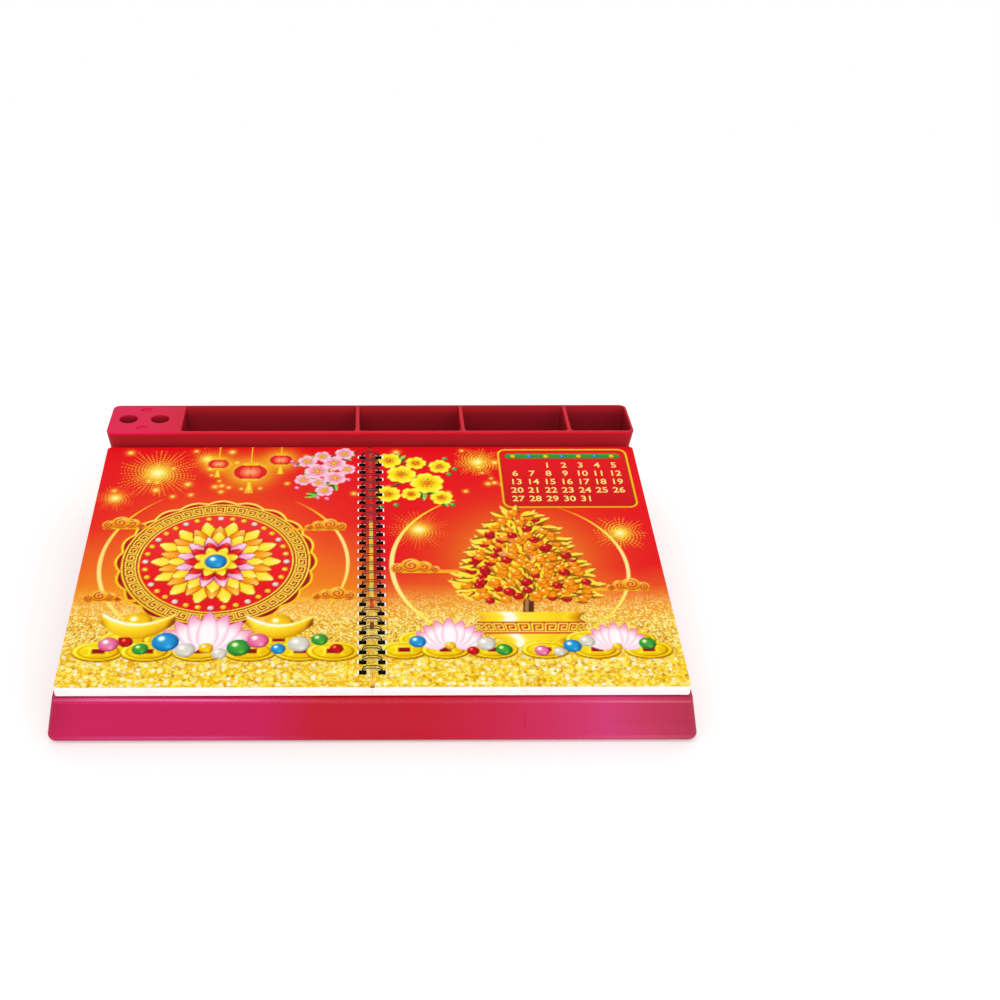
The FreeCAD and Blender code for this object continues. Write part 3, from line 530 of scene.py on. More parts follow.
@dataclass(frozen=True)
class Foam(Finish):
    """White double-sided foam tape, with open cells as pits."""

    colour: int = 0xEDEBE4
    cell: int = 0xC9C5BA

    def surface(self, graph: Graph, place: Socket) -> Material:
        """Cells, each as dark as its drawn number."""
        near, drawn, _ = graph.cells(place, 0.45)
        colour = graph.tint(paint(self.colour), self.cell, graph.climb(near, 0.5, 0.1), drawn)
        return graph.finish(colour, 0.85, graph.bump(near, 0.00008))


@dataclass(frozen=True)
class Board(Finish):
    """Pressed white board: short fibres at two angles and a few specks of pulp."""

    colour: int = 0xFDFCFA
    fibre: int = 0xE9E6DF

    def surface(self, graph: Graph, place: Socket) -> Material:
        """Fibres and specks."""
        long = graph.noise(graph.stretch(place, (0.25, 1.6, 1)), 0.7, 4, 0.7)
        wide = graph.noise(graph.stretch(place, (1.6, 0.25, 1)), 0.7, 4, 0.7)
        speck, drawn, _ = graph.cells(place, 1.1)
        fleck = graph.times(graph.climb(speck, 0.25, 0.12), graph.climb(drawn, 0.85, 0.9))
        fibres = graph.math("MAXIMUM", graph.climb(long, 0.5, 0.8), graph.climb(wide, 0.5, 0.8))
        share = graph.math("MAXIMUM", graph.times(fibres, 0.6), fleck)
        colour = graph.tint(paint(self.colour), self.fibre, share)
        return graph.finish(colour, 0.9, graph.bump(fibres, 0.00004), shine=0.2)


@dataclass(frozen=True)
class CoatedWire(Finish):
    """Black nylon-coated steel wire: the coat is glossy, a little uneven, and worn paler in small nicks."""

    colour: int = 0x101014
    worn: int = 0x4A4C50

    def surface(self, graph: Graph, place: Socket) -> Material:
        """Uneven coat with nicks."""
        uneven = graph.noise(place, 1.4, 3, 0.6)
        nick = graph.climb(graph.noise(place, 0.8, 2), 0.72, 0.78)
        colour = graph.tint(paint(self.colour), self.worn, nick, 0.6)
        rough = graph.scaled(uneven, 0.18, 0.26)
        return graph.finish(colour, rough, graph.bump(uneven, 0.00002), shine=0.3)


@dataclass(frozen=True)
class PrintInk(Finish):
    """Flat ink of a printed number, with the paper's fibres just showing through."""

    colour: int
    thin: int

    def surface(self, graph: Graph, place: Socket) -> Material:
        """Mottled ink."""
        mottle = graph.noise(place, 0.5, 3, 0.6)
        colour = graph.tint(paint(self.colour), self.thin, graph.climb(mottle, 0.5, 0.8), 0.35)
        return graph.finish(colour, 0.5, graph.bump(mottle, 0.00001), shine=0.25)


@dataclass(frozen=True)
class Sheet(Finish):
    """Finish of a flat sheet, laid out along the deck: across the binding and up the slope."""

    deck: Deck

    def place(self, graph: Graph) -> Socket:
        """Deck coordinates in millimetres."""
        return self.deck.coordinates(graph)


@dataclass(frozen=True)
class Paper(Sheet):
    """Smooth white writing paper: faint cloudy formation, and fibres that only bend the surface.

    The walls of the punched holes carry a near-black painted shade.
    """

    colour: int = 0xFFFFFE
    cloud: int = 0xF6F6F3
    # stain: near-black painted shade on the walls of the punched holes
    stain: int = 0x0E0C0C
    punched: Pair = (3, 8)
    ends: Pair = (9, 227)

    def surface(self, graph: Graph, place: Socket) -> Material:
        """Clouds, fibres and the painted shade on the walls of the holes."""
        across, along, _ = graph.split(place)
        formation = graph.noise(place, 6, 4, 0.6)
        fibre = graph.noise(place, 0.3, 4, 0.7)
        colour = graph.tint(paint(self.colour), self.cloud, graph.climb(formation, 0.35, 0.75))
        # Painted shade on the walls of the punched holes
        shaded_hole_walls = graph.band(graph.math("ABSOLUTE", across), *self.punched, 0.05)
        colour = graph.tint(colour, self.stain, shaded_hole_walls, graph.band(along, *self.ends, 0.05))
        return graph.finish(colour, 0.8, graph.bump(fibre, 0.00002), shine=0.2)


@dataclass(frozen=True)
class Festive:
    """Printed ground of the covers: clear red at the back, orange below it, and gold glitter in front.

    The colour follows the length from the front edge, pulled about by noise; on the left side the orange
    climbs further.  The glitter is scattered discs of several sizes, each as bright as its cell's drawn
    number; small ones reach furthest back and the large ones lie near the front edge.
    """

    deck: Deck
    length: float
    width: float
    gold: Pair = (68, 46)
    mist: Pair = (88, 54)
    near: Pair = (44, 16)
    beyond: Pair = (24, 40)
    left: Stops = (
        (0, 0xF4C000), (0.2, 0xF4BC2C), (0.28, 0xF4AC3A), (0.33, 0xF29622), (0.38, 0xF07A1C),
        (0.43, 0xEE6A1E), (0.53, 0xEA4A20), (0.62, 0xE81A1E), (1, 0xE60C18),
    )
    right: Stops = (
        (0, 0xF4C000), (0.22, 0xF6C234), (0.28, 0xF2A030), (0.33, 0xEE7E28), (0.38, 0xE94A22),
        (0.45, 0xE6141C), (1, 0xE60C18),
    )

    def colour(self, graph: Graph, place: Socket) -> Socket:
        """Colour of the ground.

        Args:
            graph: of the material.
            place: deck coordinates.

        Returns:
            The colour.
        """
        across, along, _ = graph.split(place)
        level = graph.math("ADD", along, graph.scaled(graph.noise(place, 46), 20, -10))
        share = graph.math("DIVIDE", level, self.length, clamp=True)
        sides = (graph.ramp(share, self.left), graph.ramp(share, self.right))
        ground = graph.mix(graph.climb(across, -0.5, 0.5), *sides)
        gold, mist, near = (graph.climb(along, *ends) for ends in (self.gold, self.mist, self.near))
        middle = graph.times(mist, graph.climb(along, *self.beyond))
        shade = graph.climb(graph.noise(place, 11, 4, 0.62), 0.48, 0.66)
        ground = graph.tint(ground, 0xDE9608, shade, gold, 0.6)
        _, grain, tone = graph.cells(place, 1.25, flat=True)
        fine = graph.times(gold, graph.math("SUBTRACT", 1, graph.times(near, 0.9)))
        ground = graph.tint(ground, 0xB87404, graph.climb(grain, 0.42, 0.2), fine, 0.72)
        light = graph.climb(tone, 0.5, 0.8)
        ground = graph.tint(ground, 0xFFF488, light, graph.math("MAXIMUM", fine, mist), 0.75)
        # Each layer of discs: size of its cells, radius and count as shares of them, where, strength, colour
        layers = (
            (2.2, 0.40, 0.50, middle, 0.85, 0xFFF9B4),
            (3.4, 0.44, 0.32, near, 0.85, 0xC88000),
            (3.6, 0.42, 0.46, near, 0.80, 0xFFE220),
            (4.6, 0.42, 0.44, near, 0.85, 0xFFEE48),
            (5.2, 0.42, 0.40, near, 0.85, 0xFFF790),
            (4, 0.40, 0.34, near, 0.95, 0xFFFDDC),
            (3.1, 0.20, 0.20, middle, 1, 0xFFFDDC),
        )
        for size, radius, held, zone, strength, code in layers:
            away, drawn, other = graph.cells(place, size, flat=True)
            disc = graph.times(graph.climb(away, radius, radius * 0.6), graph.scaled(other, 0.6, 0.4))
            drawn = graph.climb(drawn, 1 - held, 1.04 - held)
            ground = graph.tint(ground, code, disc, drawn, zone, strength)
        return ground


@dataclass(frozen=True)
class CoverFront(Sheet):
    """Outside of a cover: the printed art's own colours over the festive ground, under a thin clear varnish.

    A short white painted glint stands at the outer end of each hole for the wire.
    """

    ground: Festive
    # Span across and half height of each white painted glint beside a hole
    bar: Pair = (7.75, 8.55)
    half_bar: float = 1.5

    def bars(self, graph: Graph, place: Socket) -> Socket:
        """Painted glint bars beside the holes, whose row repeats with the loops' pitch.

        Args:
            graph: of the material.
            place: deck coordinates.

        Returns:
            The share of white painted glint.
        """
        across, along, _ = graph.split(place)
        step = graph.math("MODULO", graph.math("ADD", along, LOOP_PITCH * 1.5 - FIRST_LOOP), LOOP_PITCH)
        step = graph.band(step, LOOP_PITCH / 2 - self.half_bar, LOOP_PITCH / 2 + self.half_bar, 0.1)
        row = graph.band(along, FIRST_LOOP - 4, self.ground.length - FIRST_LOOP + 4, 0.1)
        return graph.times(graph.band(graph.math("ABSOLUTE", across), *self.bar, 0.08), step, row)

    def surface(self, graph: Graph, place: Socket) -> Material:
        """Ground, art, painted glint bars and varnish."""
        art = graph.node("ShaderNodeAttribute", attribute_name=INK_LAYER)
        bare = graph.math("SUBTRACT", 1, art.outputs["Alpha"])
        below = graph.mix(1, self.ground.colour(graph, place), bare, "MULTIPLY")
        colour = graph.mix(1, below, art.outputs["Color"], "ADD")
        # White painted glint beside each hole
        colour = graph.tint(colour, 0xFFFFFF, self.bars(graph, place))
        waves = graph.noise(place, 60, 1, 0.3)
        rough = graph.scaled(graph.noise(place, 0.4, 2), 0.1, 0.34)
        return graph.finish(colour, rough, graph.bump(waves, 0.0004), shine=0.03)


@dataclass(frozen=True)
class CoverInside(Sheet):
    """Inside of a cover: uncoated white card with ruled note lines between two red margins."""

    length: float
    width: float
    rule_pitch: float = 8.5
    head: float = 24.0
    margin: float = 14.0
    colour: int = 0xF8F4EA
    cloud: int = 0xF5F0E5
    rule: int = 0xD9A9A0
    edge: int = 0xC8202C

    def surface(self, graph: Graph, place: Socket) -> Material:
        """Clouds, fibres, note lines and the two margins."""
        across, along, _ = graph.split(place)
        fibre = graph.noise(place, 0.4, 4, 0.7)
        cloud = graph.noise(place, 14, 2, 0.4)
        base = graph.tint(paint(self.colour), self.cloud, graph.climb(cloud, 0.3, 0.9))
        ruled = graph.band(graph.math("ABSOLUTE", across), self.margin, self.width - self.margin, 0.1)
        top = self.length - self.head
        inside = graph.times(graph.band(along, self.margin, top, 0.1), ruled)
        step = graph.math("MODULO", along, self.rule_pitch)
        base = graph.tint(base, self.rule, graph.band(step, 4, 4.25, 0.08), inside)
        head = graph.band(along, top + 5, top + 6, 0.1)
        foot = graph.band(along, self.margin - 4, self.margin - 3.4, 0.1)
        base = graph.tint(base, self.edge, graph.math("MAXIMUM", head, foot), ruled)
        return graph.finish(base, 0.75, graph.bump(fibre, 0.00002), shine=0.2)


@dataclass(frozen=True)
class WeekPage(Sheet):
    """Printed leaf under the covers: a festive strip beside the wire, a red head bar, and ruled days.

    Each day has a red tag by its outer margin and dotted lines, whose dots come from the sine of the
    length across the page.  A narrow band of gold and red runs along the binding edge and shows between
    the covers.
    """

    ground: Festive
    strip: float = 10.5
    head: float = 22.0
    days: int = 4
    margin: float = 13.0
    tag_width: float = 24.0
    tag_height: float = 6.5
    rule_pitch: float = 9.2
    dot_turns: float = 5.2
    colour: int = 0xFBFBF9
    cloud: int = 0xF7F6F3
    red: int = 0xC8242A
    rule: int = 0x8C8884
    seam: float = 1.4
    seam_grain: int = 0xC87810
    seam_band: Stops = (
        (0.005, 0xA04414), (0.007, 0xFFD050), (0.205, 0xFFDC5C), (0.21, 0x8C3A12), (0.236, 0x8C3A12),
        (0.24, 0xFFE03C), (0.285, 0xFFD838), (0.29, 0xEC4818), (0.328, 0xEC5018), (0.334, 0xFFE85C),
        (0.648, 0xFFDE50), (0.654, 0xE4242C), (0.968, 0xE4242C), (0.974, 0x96141A),
    )

    @property
    def day(self) -> float:
        """Height of one day's field."""
        return (self.ground.length - self.head - self.margin) / self.days

    def days_red(self, graph: Graph, step: Socket, side: Socket) -> Socket:
        """Line over each day and the tag under it.

        Args:
            graph: of the material.
            step: length from the foot of the day's field.
            side: length from the binding.

        Returns:
            The share of red.
        """
        outer = self.ground.width - self.margin
        top = graph.band(step, self.day - 0.6, self.day + 1, 0.05)
        tag = graph.band(step, self.day - self.tag_height, self.day + 1, 0.08)
        tag = graph.times(tag, graph.band(side, outer - self.tag_width, outer, 0.08))
        return graph.math("MAXIMUM", top, tag)

    def surface(self, graph: Graph, place: Socket) -> Material:
        """Paper, dotted lines, red print, the festive strip and the band at the binding."""
        across, along, _ = graph.split(place)
        side = graph.math("ABSOLUTE", across)
        length = self.ground.length
        fibre = graph.noise(place, 0.35, 4, 0.7)
        cloud = graph.noise(place, 12, 2)
        base = graph.tint(paint(self.colour), self.cloud, graph.climb(cloud, 0.3, 0.9))
        ruled = graph.band(side, self.strip + 6, self.ground.width - self.margin, 0.1)
        rows = graph.band(along, self.margin, length - self.head, 0.1)
        step = graph.math("MODULO", graph.math("SUBTRACT", along, self.margin), self.day)
        dots = graph.climb(graph.math("SINE", graph.times(across, self.dot_turns)), -0.2, 0.2)
        lines = graph.band(graph.math("MODULO", step, self.rule_pitch), 0.9, 1.15, 0.07)
        base = graph.tint(base, self.rule, lines, dots, graph.climb(step, 3, 3.2), ruled, rows, 0.8)
        red = graph.times(self.days_red(graph, step, side), graph.times(ruled, rows))
        bar = graph.band(along, length - self.head + 5, length - 7, 0.1)
        base = graph.tint(base, self.red, graph.math("MAXIMUM", red, graph.times(bar, ruled)))
        strip = graph.climb(side, self.strip + 0.1, self.strip - 0.1)
        base = graph.mix(strip, base, self.ground.colour(graph, place))
        _, grain, _ = graph.cells(place, 1.7, flat=True)
        band = graph.ramp(graph.math("DIVIDE", along, length), self.seam_band)
        band = graph.tint(band, self.seam_grain, graph.climb(grain, 0.4, 0.2), 0.35)
        base = graph.mix(graph.climb(side, self.seam + 0.1, self.seam - 0.1), base, band)
        return graph.finish(base, 0.6, graph.bump(fibre, 0.00002), shine=0.25)


# ---- meshes


def put(name: str, data: bpy.types.ID) -> Piece:
    """New object at the origin, linked to the scene.

    Args:
        name: of the object.
        data: its mesh, camera or light.

    Returns:
        The object.
    """
    holder = bpy.data.objects.new(name, data)
    bpy.context.scene.collection.objects.link(holder)
    return holder


@dataclass
class Shell:
    """Mesh in the making: points in metres, and arrays of faces with a material number each."""

    points: Floats
    ink: Floats | None = None
    faces: list[tuple[Floats, int]] = field(default_factory=list)

    def add(self, faces: Floats, material: int = 0) -> None:
        """Faces of one width, one row of point numbers each."""
        self.faces.append((faces, material))

    def build(self, name: str, materials: list[Material], smooth: bool = False) -> Piece:
        """Mesh object at the origin, of the points that its faces use.

        Args:
            name: of the piece.
            materials: in the order of the faces' material numbers.
            smooth: shade it smooth.

        Returns:
            The object, linked to the scene.
        """
        used = np.unique(np.concatenate([faces.ravel() for faces, _ in self.faces]))
        renumber = np.zeros(len(self.points), np.int64)
        renumber[used] = np.arange(len(used))
        corners = np.concatenate([renumber[faces].ravel() for faces, _ in self.faces])
        sizes = np.concatenate([np.full(len(faces), faces.shape[1]) for faces, _ in self.faces])
        slots = np.concatenate([np.full(len(faces), number) for faces, number in self.faces])
        mesh = bpy.data.meshes.new(name)
        mesh.vertices.add(len(used))
        mesh.vertices.foreach_set("co", self.points[used].astype(np.float32).ravel())
        mesh.loops.add(len(corners))
        mesh.loops.foreach_set("vertex_index", corners.astype(np.int32))
        mesh.polygons.add(len(sizes))
        mesh.polygons.foreach_set("loop_start", (np.cumsum(sizes) - sizes).astype(np.int32))
        mesh.polygons.foreach_set("material_index", slots.astype(np.int32))
        mesh.polygons.foreach_set("use_smooth", np.full(len(sizes), smooth))
        mesh.update(calc_edges=True)
        if self.ink is not None:
            layer = mesh.color_attributes.new(INK_LAYER, "FLOAT_COLOR", "POINT")
            layer.data.foreach_set("color", self.ink[used].astype(np.float32).ravel())
        for material in materials:
            mesh.materials.append(material)
        return put(name, mesh)


def lines_between(edges: list[float], step: float) -> Floats:
    """Grid lines through every edge, evenly spaced between one edge and the next.

    Args:
        edges: in any order.
        step: the longest space allowed.

    Returns:
        The lines, in rising order.
    """
    ends = np.unique(np.round(edges, 6))
    parts = []
    for low, high in zip(ends, ends[1:]):
        parts.append(np.linspace(low, high, math.ceil((high - low) / step - 1e-6) + 1)[:-1])
    return np.concatenate([*parts, ends[-1:]])


# ---- printed art


class Ink(Enum):
    """Inks of the covers' print, each a ramp of (share, sRGB) stops from shade to light."""

    GOLD = (
        (0, 0x8A4A04), (0.22, 0xD08A08), (0.42, 0xF6BE10), (0.66, 0xFFE02C), (0.86, 0xFFF27A),
        (1, 0xFFFDE4),
    )
    RED = ((0, 0x560408), (0.4, 0xB80C16), (0.72, 0xEA1820), (1, 0xFF8A66))
    FRUIT = ((0, 0xB24E00), (0.35, 0xF07E08), (0.65, 0xFFB01C), (1, 0xFFF6B0))
    ORANGE = ((0, 0x8C2C04), (0.35, 0xE25A0A), (0.7, 0xFFA01E), (1, 0xFFEA9C))
    PINK = ((0, 0x9A1048), (0.35, 0xE4588E), (0.7, 0xFBBAD2), (1, 0xFFFFFF))
    BLUE = ((0, 0x083A74), (0.4, 0x1686CC), (0.75, 0x66CAF2), (1, 0xF6FDFF))
    GREEN = ((0, 0x0A421A), (0.4, 0x2C9434), (0.75, 0x8ED04A), (1, 0xF2FFCA))
    PEARL = ((0, 0x8E8478), (0.4, 0xD8D0C4), (0.75, 0xF8F4EC), (1, 0xFFFFFF))
    YELLOW = ((0, 0xA86A00), (0.35, 0xF0BC00), (0.7, 0xFFEE22), (1, 0xFFFFB8))
    BARK = ((0, 0x2A1006), (0.5, 0x6A3418), (1, 0xBE8850))
    WINE = ((0, 0x3A0408), (0.5, 0x9E0A12), (1, 0xE01820))

    def tone(self, share: Floats | float) -> Floats:
        """Colour of the ramp at a share from 0 to 1, straight between its stops.

        Args:
            share: one number or an array of them.

        Returns:
            The sRGB colour, three numbers from 0 to 1 along a new last axis.
        """
        places, codes = zip(*self.value)
        colours = np.array([rgb(code) for code in codes])
        return np.stack([np.interp(share, places, colours[:, band]) for band in range(3)], axis=-1)


@dataclass
class Patch:
    """Part of a print near a motif: its place in the grid, and distances from the motif's middle."""

    place: tuple[slice, slice]
    dx: Floats
    dy: Floats

    @property
    def radius(self) -> Floats:
        """Distance from the middle: the root of the squares' sum."""
        return np.hypot(self.dx, self.dy)

    @property
    def angle(self) -> Floats:
        """Direction from the middle, in radians from +X."""
        return np.arctan2(self.dy, self.dx)

    def turned(self, angle: float) -> tuple[Floats, Floats]:
        """Distances along and across a direction.

        Args:
            angle: the direction, in radians from +X.

        Returns:
            Distance along the direction, and distance to its left.
        """
        along = self.dx * math.cos(angle) + self.dy * math.sin(angle)
        across = self.dy * math.cos(angle) - self.dx * math.sin(angle)
        return along, across


def smooth(low: float, high: float, value: Floats) -> Floats:
    """Share that climbs from 0 at low to 1 at high along 3t² - 2t³."""
    t = np.clip((value - low) / (high - low), 0, 1)
    return t * t * (3 - 2 * t)


def hump(value: Floats, middle: float, width: float) -> Floats:
    """Bell round a middle: the exponent of minus the square of the distance over the width."""
    return np.exp(-(((value - middle) / width) ** 2))


def dome(share: Floats) -> Floats:
    """Height of a half circle: the root of 1 - s², and 0 past its ends."""
    return np.sqrt(np.clip(1 - share**2, 0, 1))


def to_segments(x: Floats, y: Floats, points: Floats) -> Floats:
    """Distance from each place to a bent line: the least of the distances to its straight runs.

    Args:
        x: across, any shape.
        y: up the page, the same shape.
        points: the line's corners, one row each.

    Returns:
        Distances in the shape of x.
    """
    starts, steps = points[:-1], np.diff(points, axis=0)
    px = x[..., None] - starts[:, 0]
    py = y[..., None] - starts[:, 1]
    share = (px * steps[:, 0] + py * steps[:, 1]) / np.maximum((steps**2).sum(axis=1), 1e-9)
    share = np.clip(share, 0, 1)
    return np.hypot(px - share * steps[:, 0], py - share * steps[:, 1]).min(axis=-1)


@dataclass
class Print:
    """Art on one cover: a colour and an ink cover for each point of a grid.

    A place is x across and y up the page, in millimetres from the page's middle.
    """

    x: Floats
    y: Floats
    softness: float = 0.55
    colour: Floats = field(init=False)
    cover: Floats = field(init=False)

    def __post_init__(self) -> None:
        """Start with a bare page."""
        self.colour = np.zeros((len(self.y), len(self.x), 3))
        self.cover = np.zeros((len(self.y), len(self.x)))

    def near(self, x: float, y: float, reach: float) -> Patch:
        """Patch of the grid within a reach of a place.

        Args:
            x, y: the place.
            reach: half the patch's side.

        Returns:
            The patch, with distances from that place.
        """
        left, right = np.searchsorted(self.x, [x - reach, x + reach])
        low, high = np.searchsorted(self.y, [y - reach, y + reach])
        place = (slice(low, high), slice(left, right))
        dx, dy = np.meshgrid(self.x[left:right] - x, self.y[low:high] - y)
        return Patch(place, dx, dy)

    def lay(self, patch: Patch, distance: Floats, ink: Ink, light: Any, strength: Any = 1) -> None:
        """Print one ink over what is there, with a soft edge where the distance crosses zero.

        Args:
            patch: where.
            distance: signed distance to the shape's edge, negative inside.
            ink: of the shape.
            light: share on the ink's ramp, one or for each point.
            strength: how opaque the ink is.
        """
        added = np.clip(0.5 - distance / self.softness, 0, 1) * strength
        share = added[..., None]
        self.colour[patch.place] = share * ink.tone(light) + (1 - share) * self.colour[patch.place]
        self.cover[patch.place] = added + (1 - added) * self.cover[patch.place]

    def ink(self) -> Floats:
        """Linear colour times cover, and the cover itself, one row for each point, rows of the grid first."""
        cover = self.cover[..., None]
        straight = self.colour / np.maximum(cover, 1e-6)
        return np.concatenate([linear(straight) * cover, cover], axis=-1).reshape(-1, 4)

    # Plain marks

    def bead(self, x: float, y: float, radius: float, ink: Ink) -> None:
        """Glossy ball: its light follows its dome, the root of 1 - r², with a bright spot at the upper left.

        Args:
            x, y: its middle.
            radius: of the ball.
            ink: of the ball.
        """
        patch = self.near(x, y, radius + 1)
        nx, ny = patch.dx / radius, patch.dy / radius
        facing = dome(np.hypot(nx, ny))
        share = 0.12 + 0.38 * facing + 0.2 * (ny - nx) * (1 - facing)
        share += 0.95 * np.exp(-((nx + 0.32) ** 2 + (ny - 0.38) ** 2) / 0.05)
        share += 0.25 * np.exp(-((nx - 0.3) ** 2 + (ny + 0.55) ** 2) / 0.06)
        self.lay(patch, patch.radius - radius, ink, share)

    def line(self, points: list[Pair] | Floats, width: float, ink: Ink, light: float) -> None:
        """Stroke of one width along a bent line.

        Args:
            points: corners of the line.
            width: of the stroke.
            ink: of the stroke.
            light: share on the ink's ramp.
        """
        corners = np.array(points, float)
        middle = (corners.min(axis=0) + corners.max(axis=0)) / 2
        reach = float(np.ptp(corners, axis=0).max()) / 2 + width + 1
        patch = self.near(middle[0], middle[1], reach)
        self.lay(patch, to_segments(patch.dx, patch.dy, corners - middle) - width / 2, ink, light)

    def branch(self, points: list[Pair], width: float) -> None:
        """Branch that gets thinner from point to point, with a lit edge.

        Args:
            points: from its foot to its tip.
            width: at its foot.
        """
        for number in range(len(points) - 1):
            here = width * (1 - number / len(points))
            run = np.array(points[number : number + 2], float)
            self.line(run, here, Ink.BARK, 0.35)
            self.line(run + (-0.15 * here, 0.2 * here), here * 0.35, Ink.BARK, 0.9)

    def halo(self, x: float, y: float, radius: float, ink: Ink, strength: float) -> None:
        """Round glow whose strength falls as the exponent of minus the squared distance.

        Args:
            x, y: its middle.
            radius: where it has fallen to a third.
            ink: of the glow.
            strength: in its middle.
        """
        patch = self.near(x, y, radius * 2.2)
        fall = hump(patch.radius, 0, radius)
        self.lay(patch, np.full_like(fall, -9), ink, 0.55 + 0.45 * fall, strength * fall)

    def leaf(self, x: float, y: float, length: float, width: float, angle: float, ink: Ink) -> None:
        """Pointed leaf with a pale rib, whose half width is w(1 - s²) along it.

        Args:
            x, y: its stalk.
            length: from stalk to tip.
            width: across its middle.
            angle: direction of the tip, in radians from +X.
            ink: of the leaf.
        """
        middle_x = x + math.cos(angle) * length / 2
        middle_y = y + math.sin(angle) * length / 2
        patch = self.near(middle_x, middle_y, length / 2 + 1)
        along, across = patch.turned(angle)
        share = 2 * along / length
        edge = width / 2 * (1 - share**2)
        light = 0.38 + 0.3 * np.sign(across) * smooth(0, 0.4, np.abs(across)) + 0.12 * share
        rib = hump(across, 0, 0.35) * 0.35
        self.lay(patch, np.abs(across) - edge, ink, light + rib)

    def ring(self, x: float, y: float, radius: float, width: float, ink: Ink) -> None:
        """Raised ring, lit from the upper left.

        Args:
            x, y: its middle.
            radius: of the ring's middle line.
            width: of the ring.
            ink: of the ring.
        """
        patch = self.near(x, y, radius + width + 1)
        offset = (patch.radius - radius) / (width / 2)
        facing = (patch.dy - patch.dx) / np.maximum(patch.radius, 0.1) * 0.7
        share = 0.5 + 0.34 * facing * offset + 0.2 * (1 - offset**2)
        self.lay(patch, np.abs(patch.radius - radius) - width / 2, ink, share)

    def panel(self, x: float, y: float, size: Pair, corner: float, ink: Ink, share: float) -> None:
        """Box with round corners: past the corner circles' centres the distance is theirs.

        Args:
            x, y: its middle.
            size: width and height.
            corner: radius of the corners.
            ink: of the box.
            share: light of the ink in the middle.
        """
        width, height = size
        patch = self.near(x, y, max(width, height) / 2 + 1)
        qx = np.abs(patch.dx) - width / 2 + corner
        qy = np.abs(patch.dy) - height / 2 + corner
        outside = np.hypot(np.maximum(qx, 0), np.maximum(qy, 0))
        distance = outside + np.minimum(np.maximum(qx, qy), 0) - corner
        self.lay(patch, distance, ink, share + 0.18 * patch.dy / max(height, 1))

    # Motifs

    def blossom(self, x: float, y: float, radius: float, turn: float, ink: Ink, core: Ink) -> None:
        """Five round petals, each paler towards its rim, with a core and a ring of stamens.

        Args:
            x, y: its middle.
            radius: of the whole flower.
            turn: of the first petal, in radians.
            ink: of the petals.
            core: ink of the middle.
        """
        for number in range(5):
            angle = turn + number * TURN / 5
            px, py = x + 0.53 * radius * math.cos(angle), y + 0.53 * radius * math.sin(angle)
            patch = self.near(px, py, radius * 0.47 + 1)
            reach = np.hypot(patch.dx + px - x, patch.dy + py - y) / radius
            along, across = patch.turned(angle)
            vein = 0.05 * np.cos(across / radius * 30)
            light = 0.3 + 0.62 * reach + vein - 0.22 * smooth(0.36, 0.46, patch.radius / radius)
            notch = ((along - 0.46 * radius) / (0.16 * radius)) ** 2 + (across / (0.12 * radius)) ** 2
            distance = patch.radius - 0.46 * radius + np.exp(-notch) * 0.14 * radius
            self.lay(patch, distance, ink, light)
        for number in range(10):
            angle = turn + (number + 0.5) * TURN / 10
            reach = radius * (0.36 if number % 2 else 0.28)
            tip = (x + reach * math.cos(angle), y + reach * math.sin(angle))
            self.line([(x, y), tip], 0.45, core, 0.3)
            self.bead(tip[0], tip[1], max(0.06 * radius, 0.55), core)
        self.bead(x, y, 0.13 * radius, core)

    def rosette(self, x: float, y: float, radius: float, rings: list[tuple[float, int, Ink]]) -> None:
        """Layers of pointed petals, from the widest ring inwards, round a bead.

        Args:
            x, y: its middle.
            radius: of the widest ring.
            rings: each ring's share of the radius, its count of petals, and its ink.
        """
        for order, (share, count, ink) in enumerate(rings):
            reach = radius * share
            for number in range(count):
                angle = (number + 0.5 * (order % 2)) * TURN / count
                foot = reach * 0.3
                width = reach * min(4.4 / count, 0.85)
                length = reach - foot
                out = foot + length / 2
                patch = self.near(x + out * math.cos(angle), y + out * math.sin(angle), length)
                along, across = patch.turned(angle)
                s = 2 * along / length
                edge = width / 2 * dome(s) * (1 - 0.25 * s)
                inside = np.abs(across) / np.maximum(edge, 0.05)
                light = 0.34 + 0.3 * s + 0.28 * (1 - inside**2)
                light = np.where(np.abs(across) > edge - 0.55, 0.1, light)
                distance = np.maximum(np.abs(across) - edge, np.abs(along) - length / 2)
                self.lay(patch, distance, ink, light)
        self.ring(x, y, radius * 0.2, radius * 0.07, Ink.GOLD)
        self.bead(x, y, radius * 0.17, Ink.BLUE)

    def coin(self, x: float, y: float, radius: float, lean: float) -> None:
        """Round coin with a square hole, a rim and four plain pips.

        Args:
            x, y: its middle.
            radius: of the coin.
            lean: its height as a share of its width.
        """
        patch = self.near(x, y, radius + 1)
        height = patch.dy / lean
        reach = np.hypot(patch.dx, height) / radius
        hole = np.maximum(np.abs(patch.dx), np.abs(height)) / radius
        lit = (height - patch.dx) / radius
        light = 0.6 + 0.14 * lit + 0.22 * hump(reach, 0.88, 0.07)
        light -= 0.3 * hump(reach, 0.76, 0.05) + 0.4 * smooth(0.94, 1, reach)
        light += 0.25 * hump(hole, 0.32, 0.05)
        pips = np.hypot(np.abs(patch.dx) - 0.4 * radius, np.abs(height) - 0.4 * radius) / radius
        light += 0.2 * hump(pips, 0, 0.1)
        self.lay(patch, (reach - 1) * radius * lean, Ink.YELLOW, light - 0.14)
        self.lay(patch, (hole - 0.24) * radius * lean, Ink.WINE, 0.45)

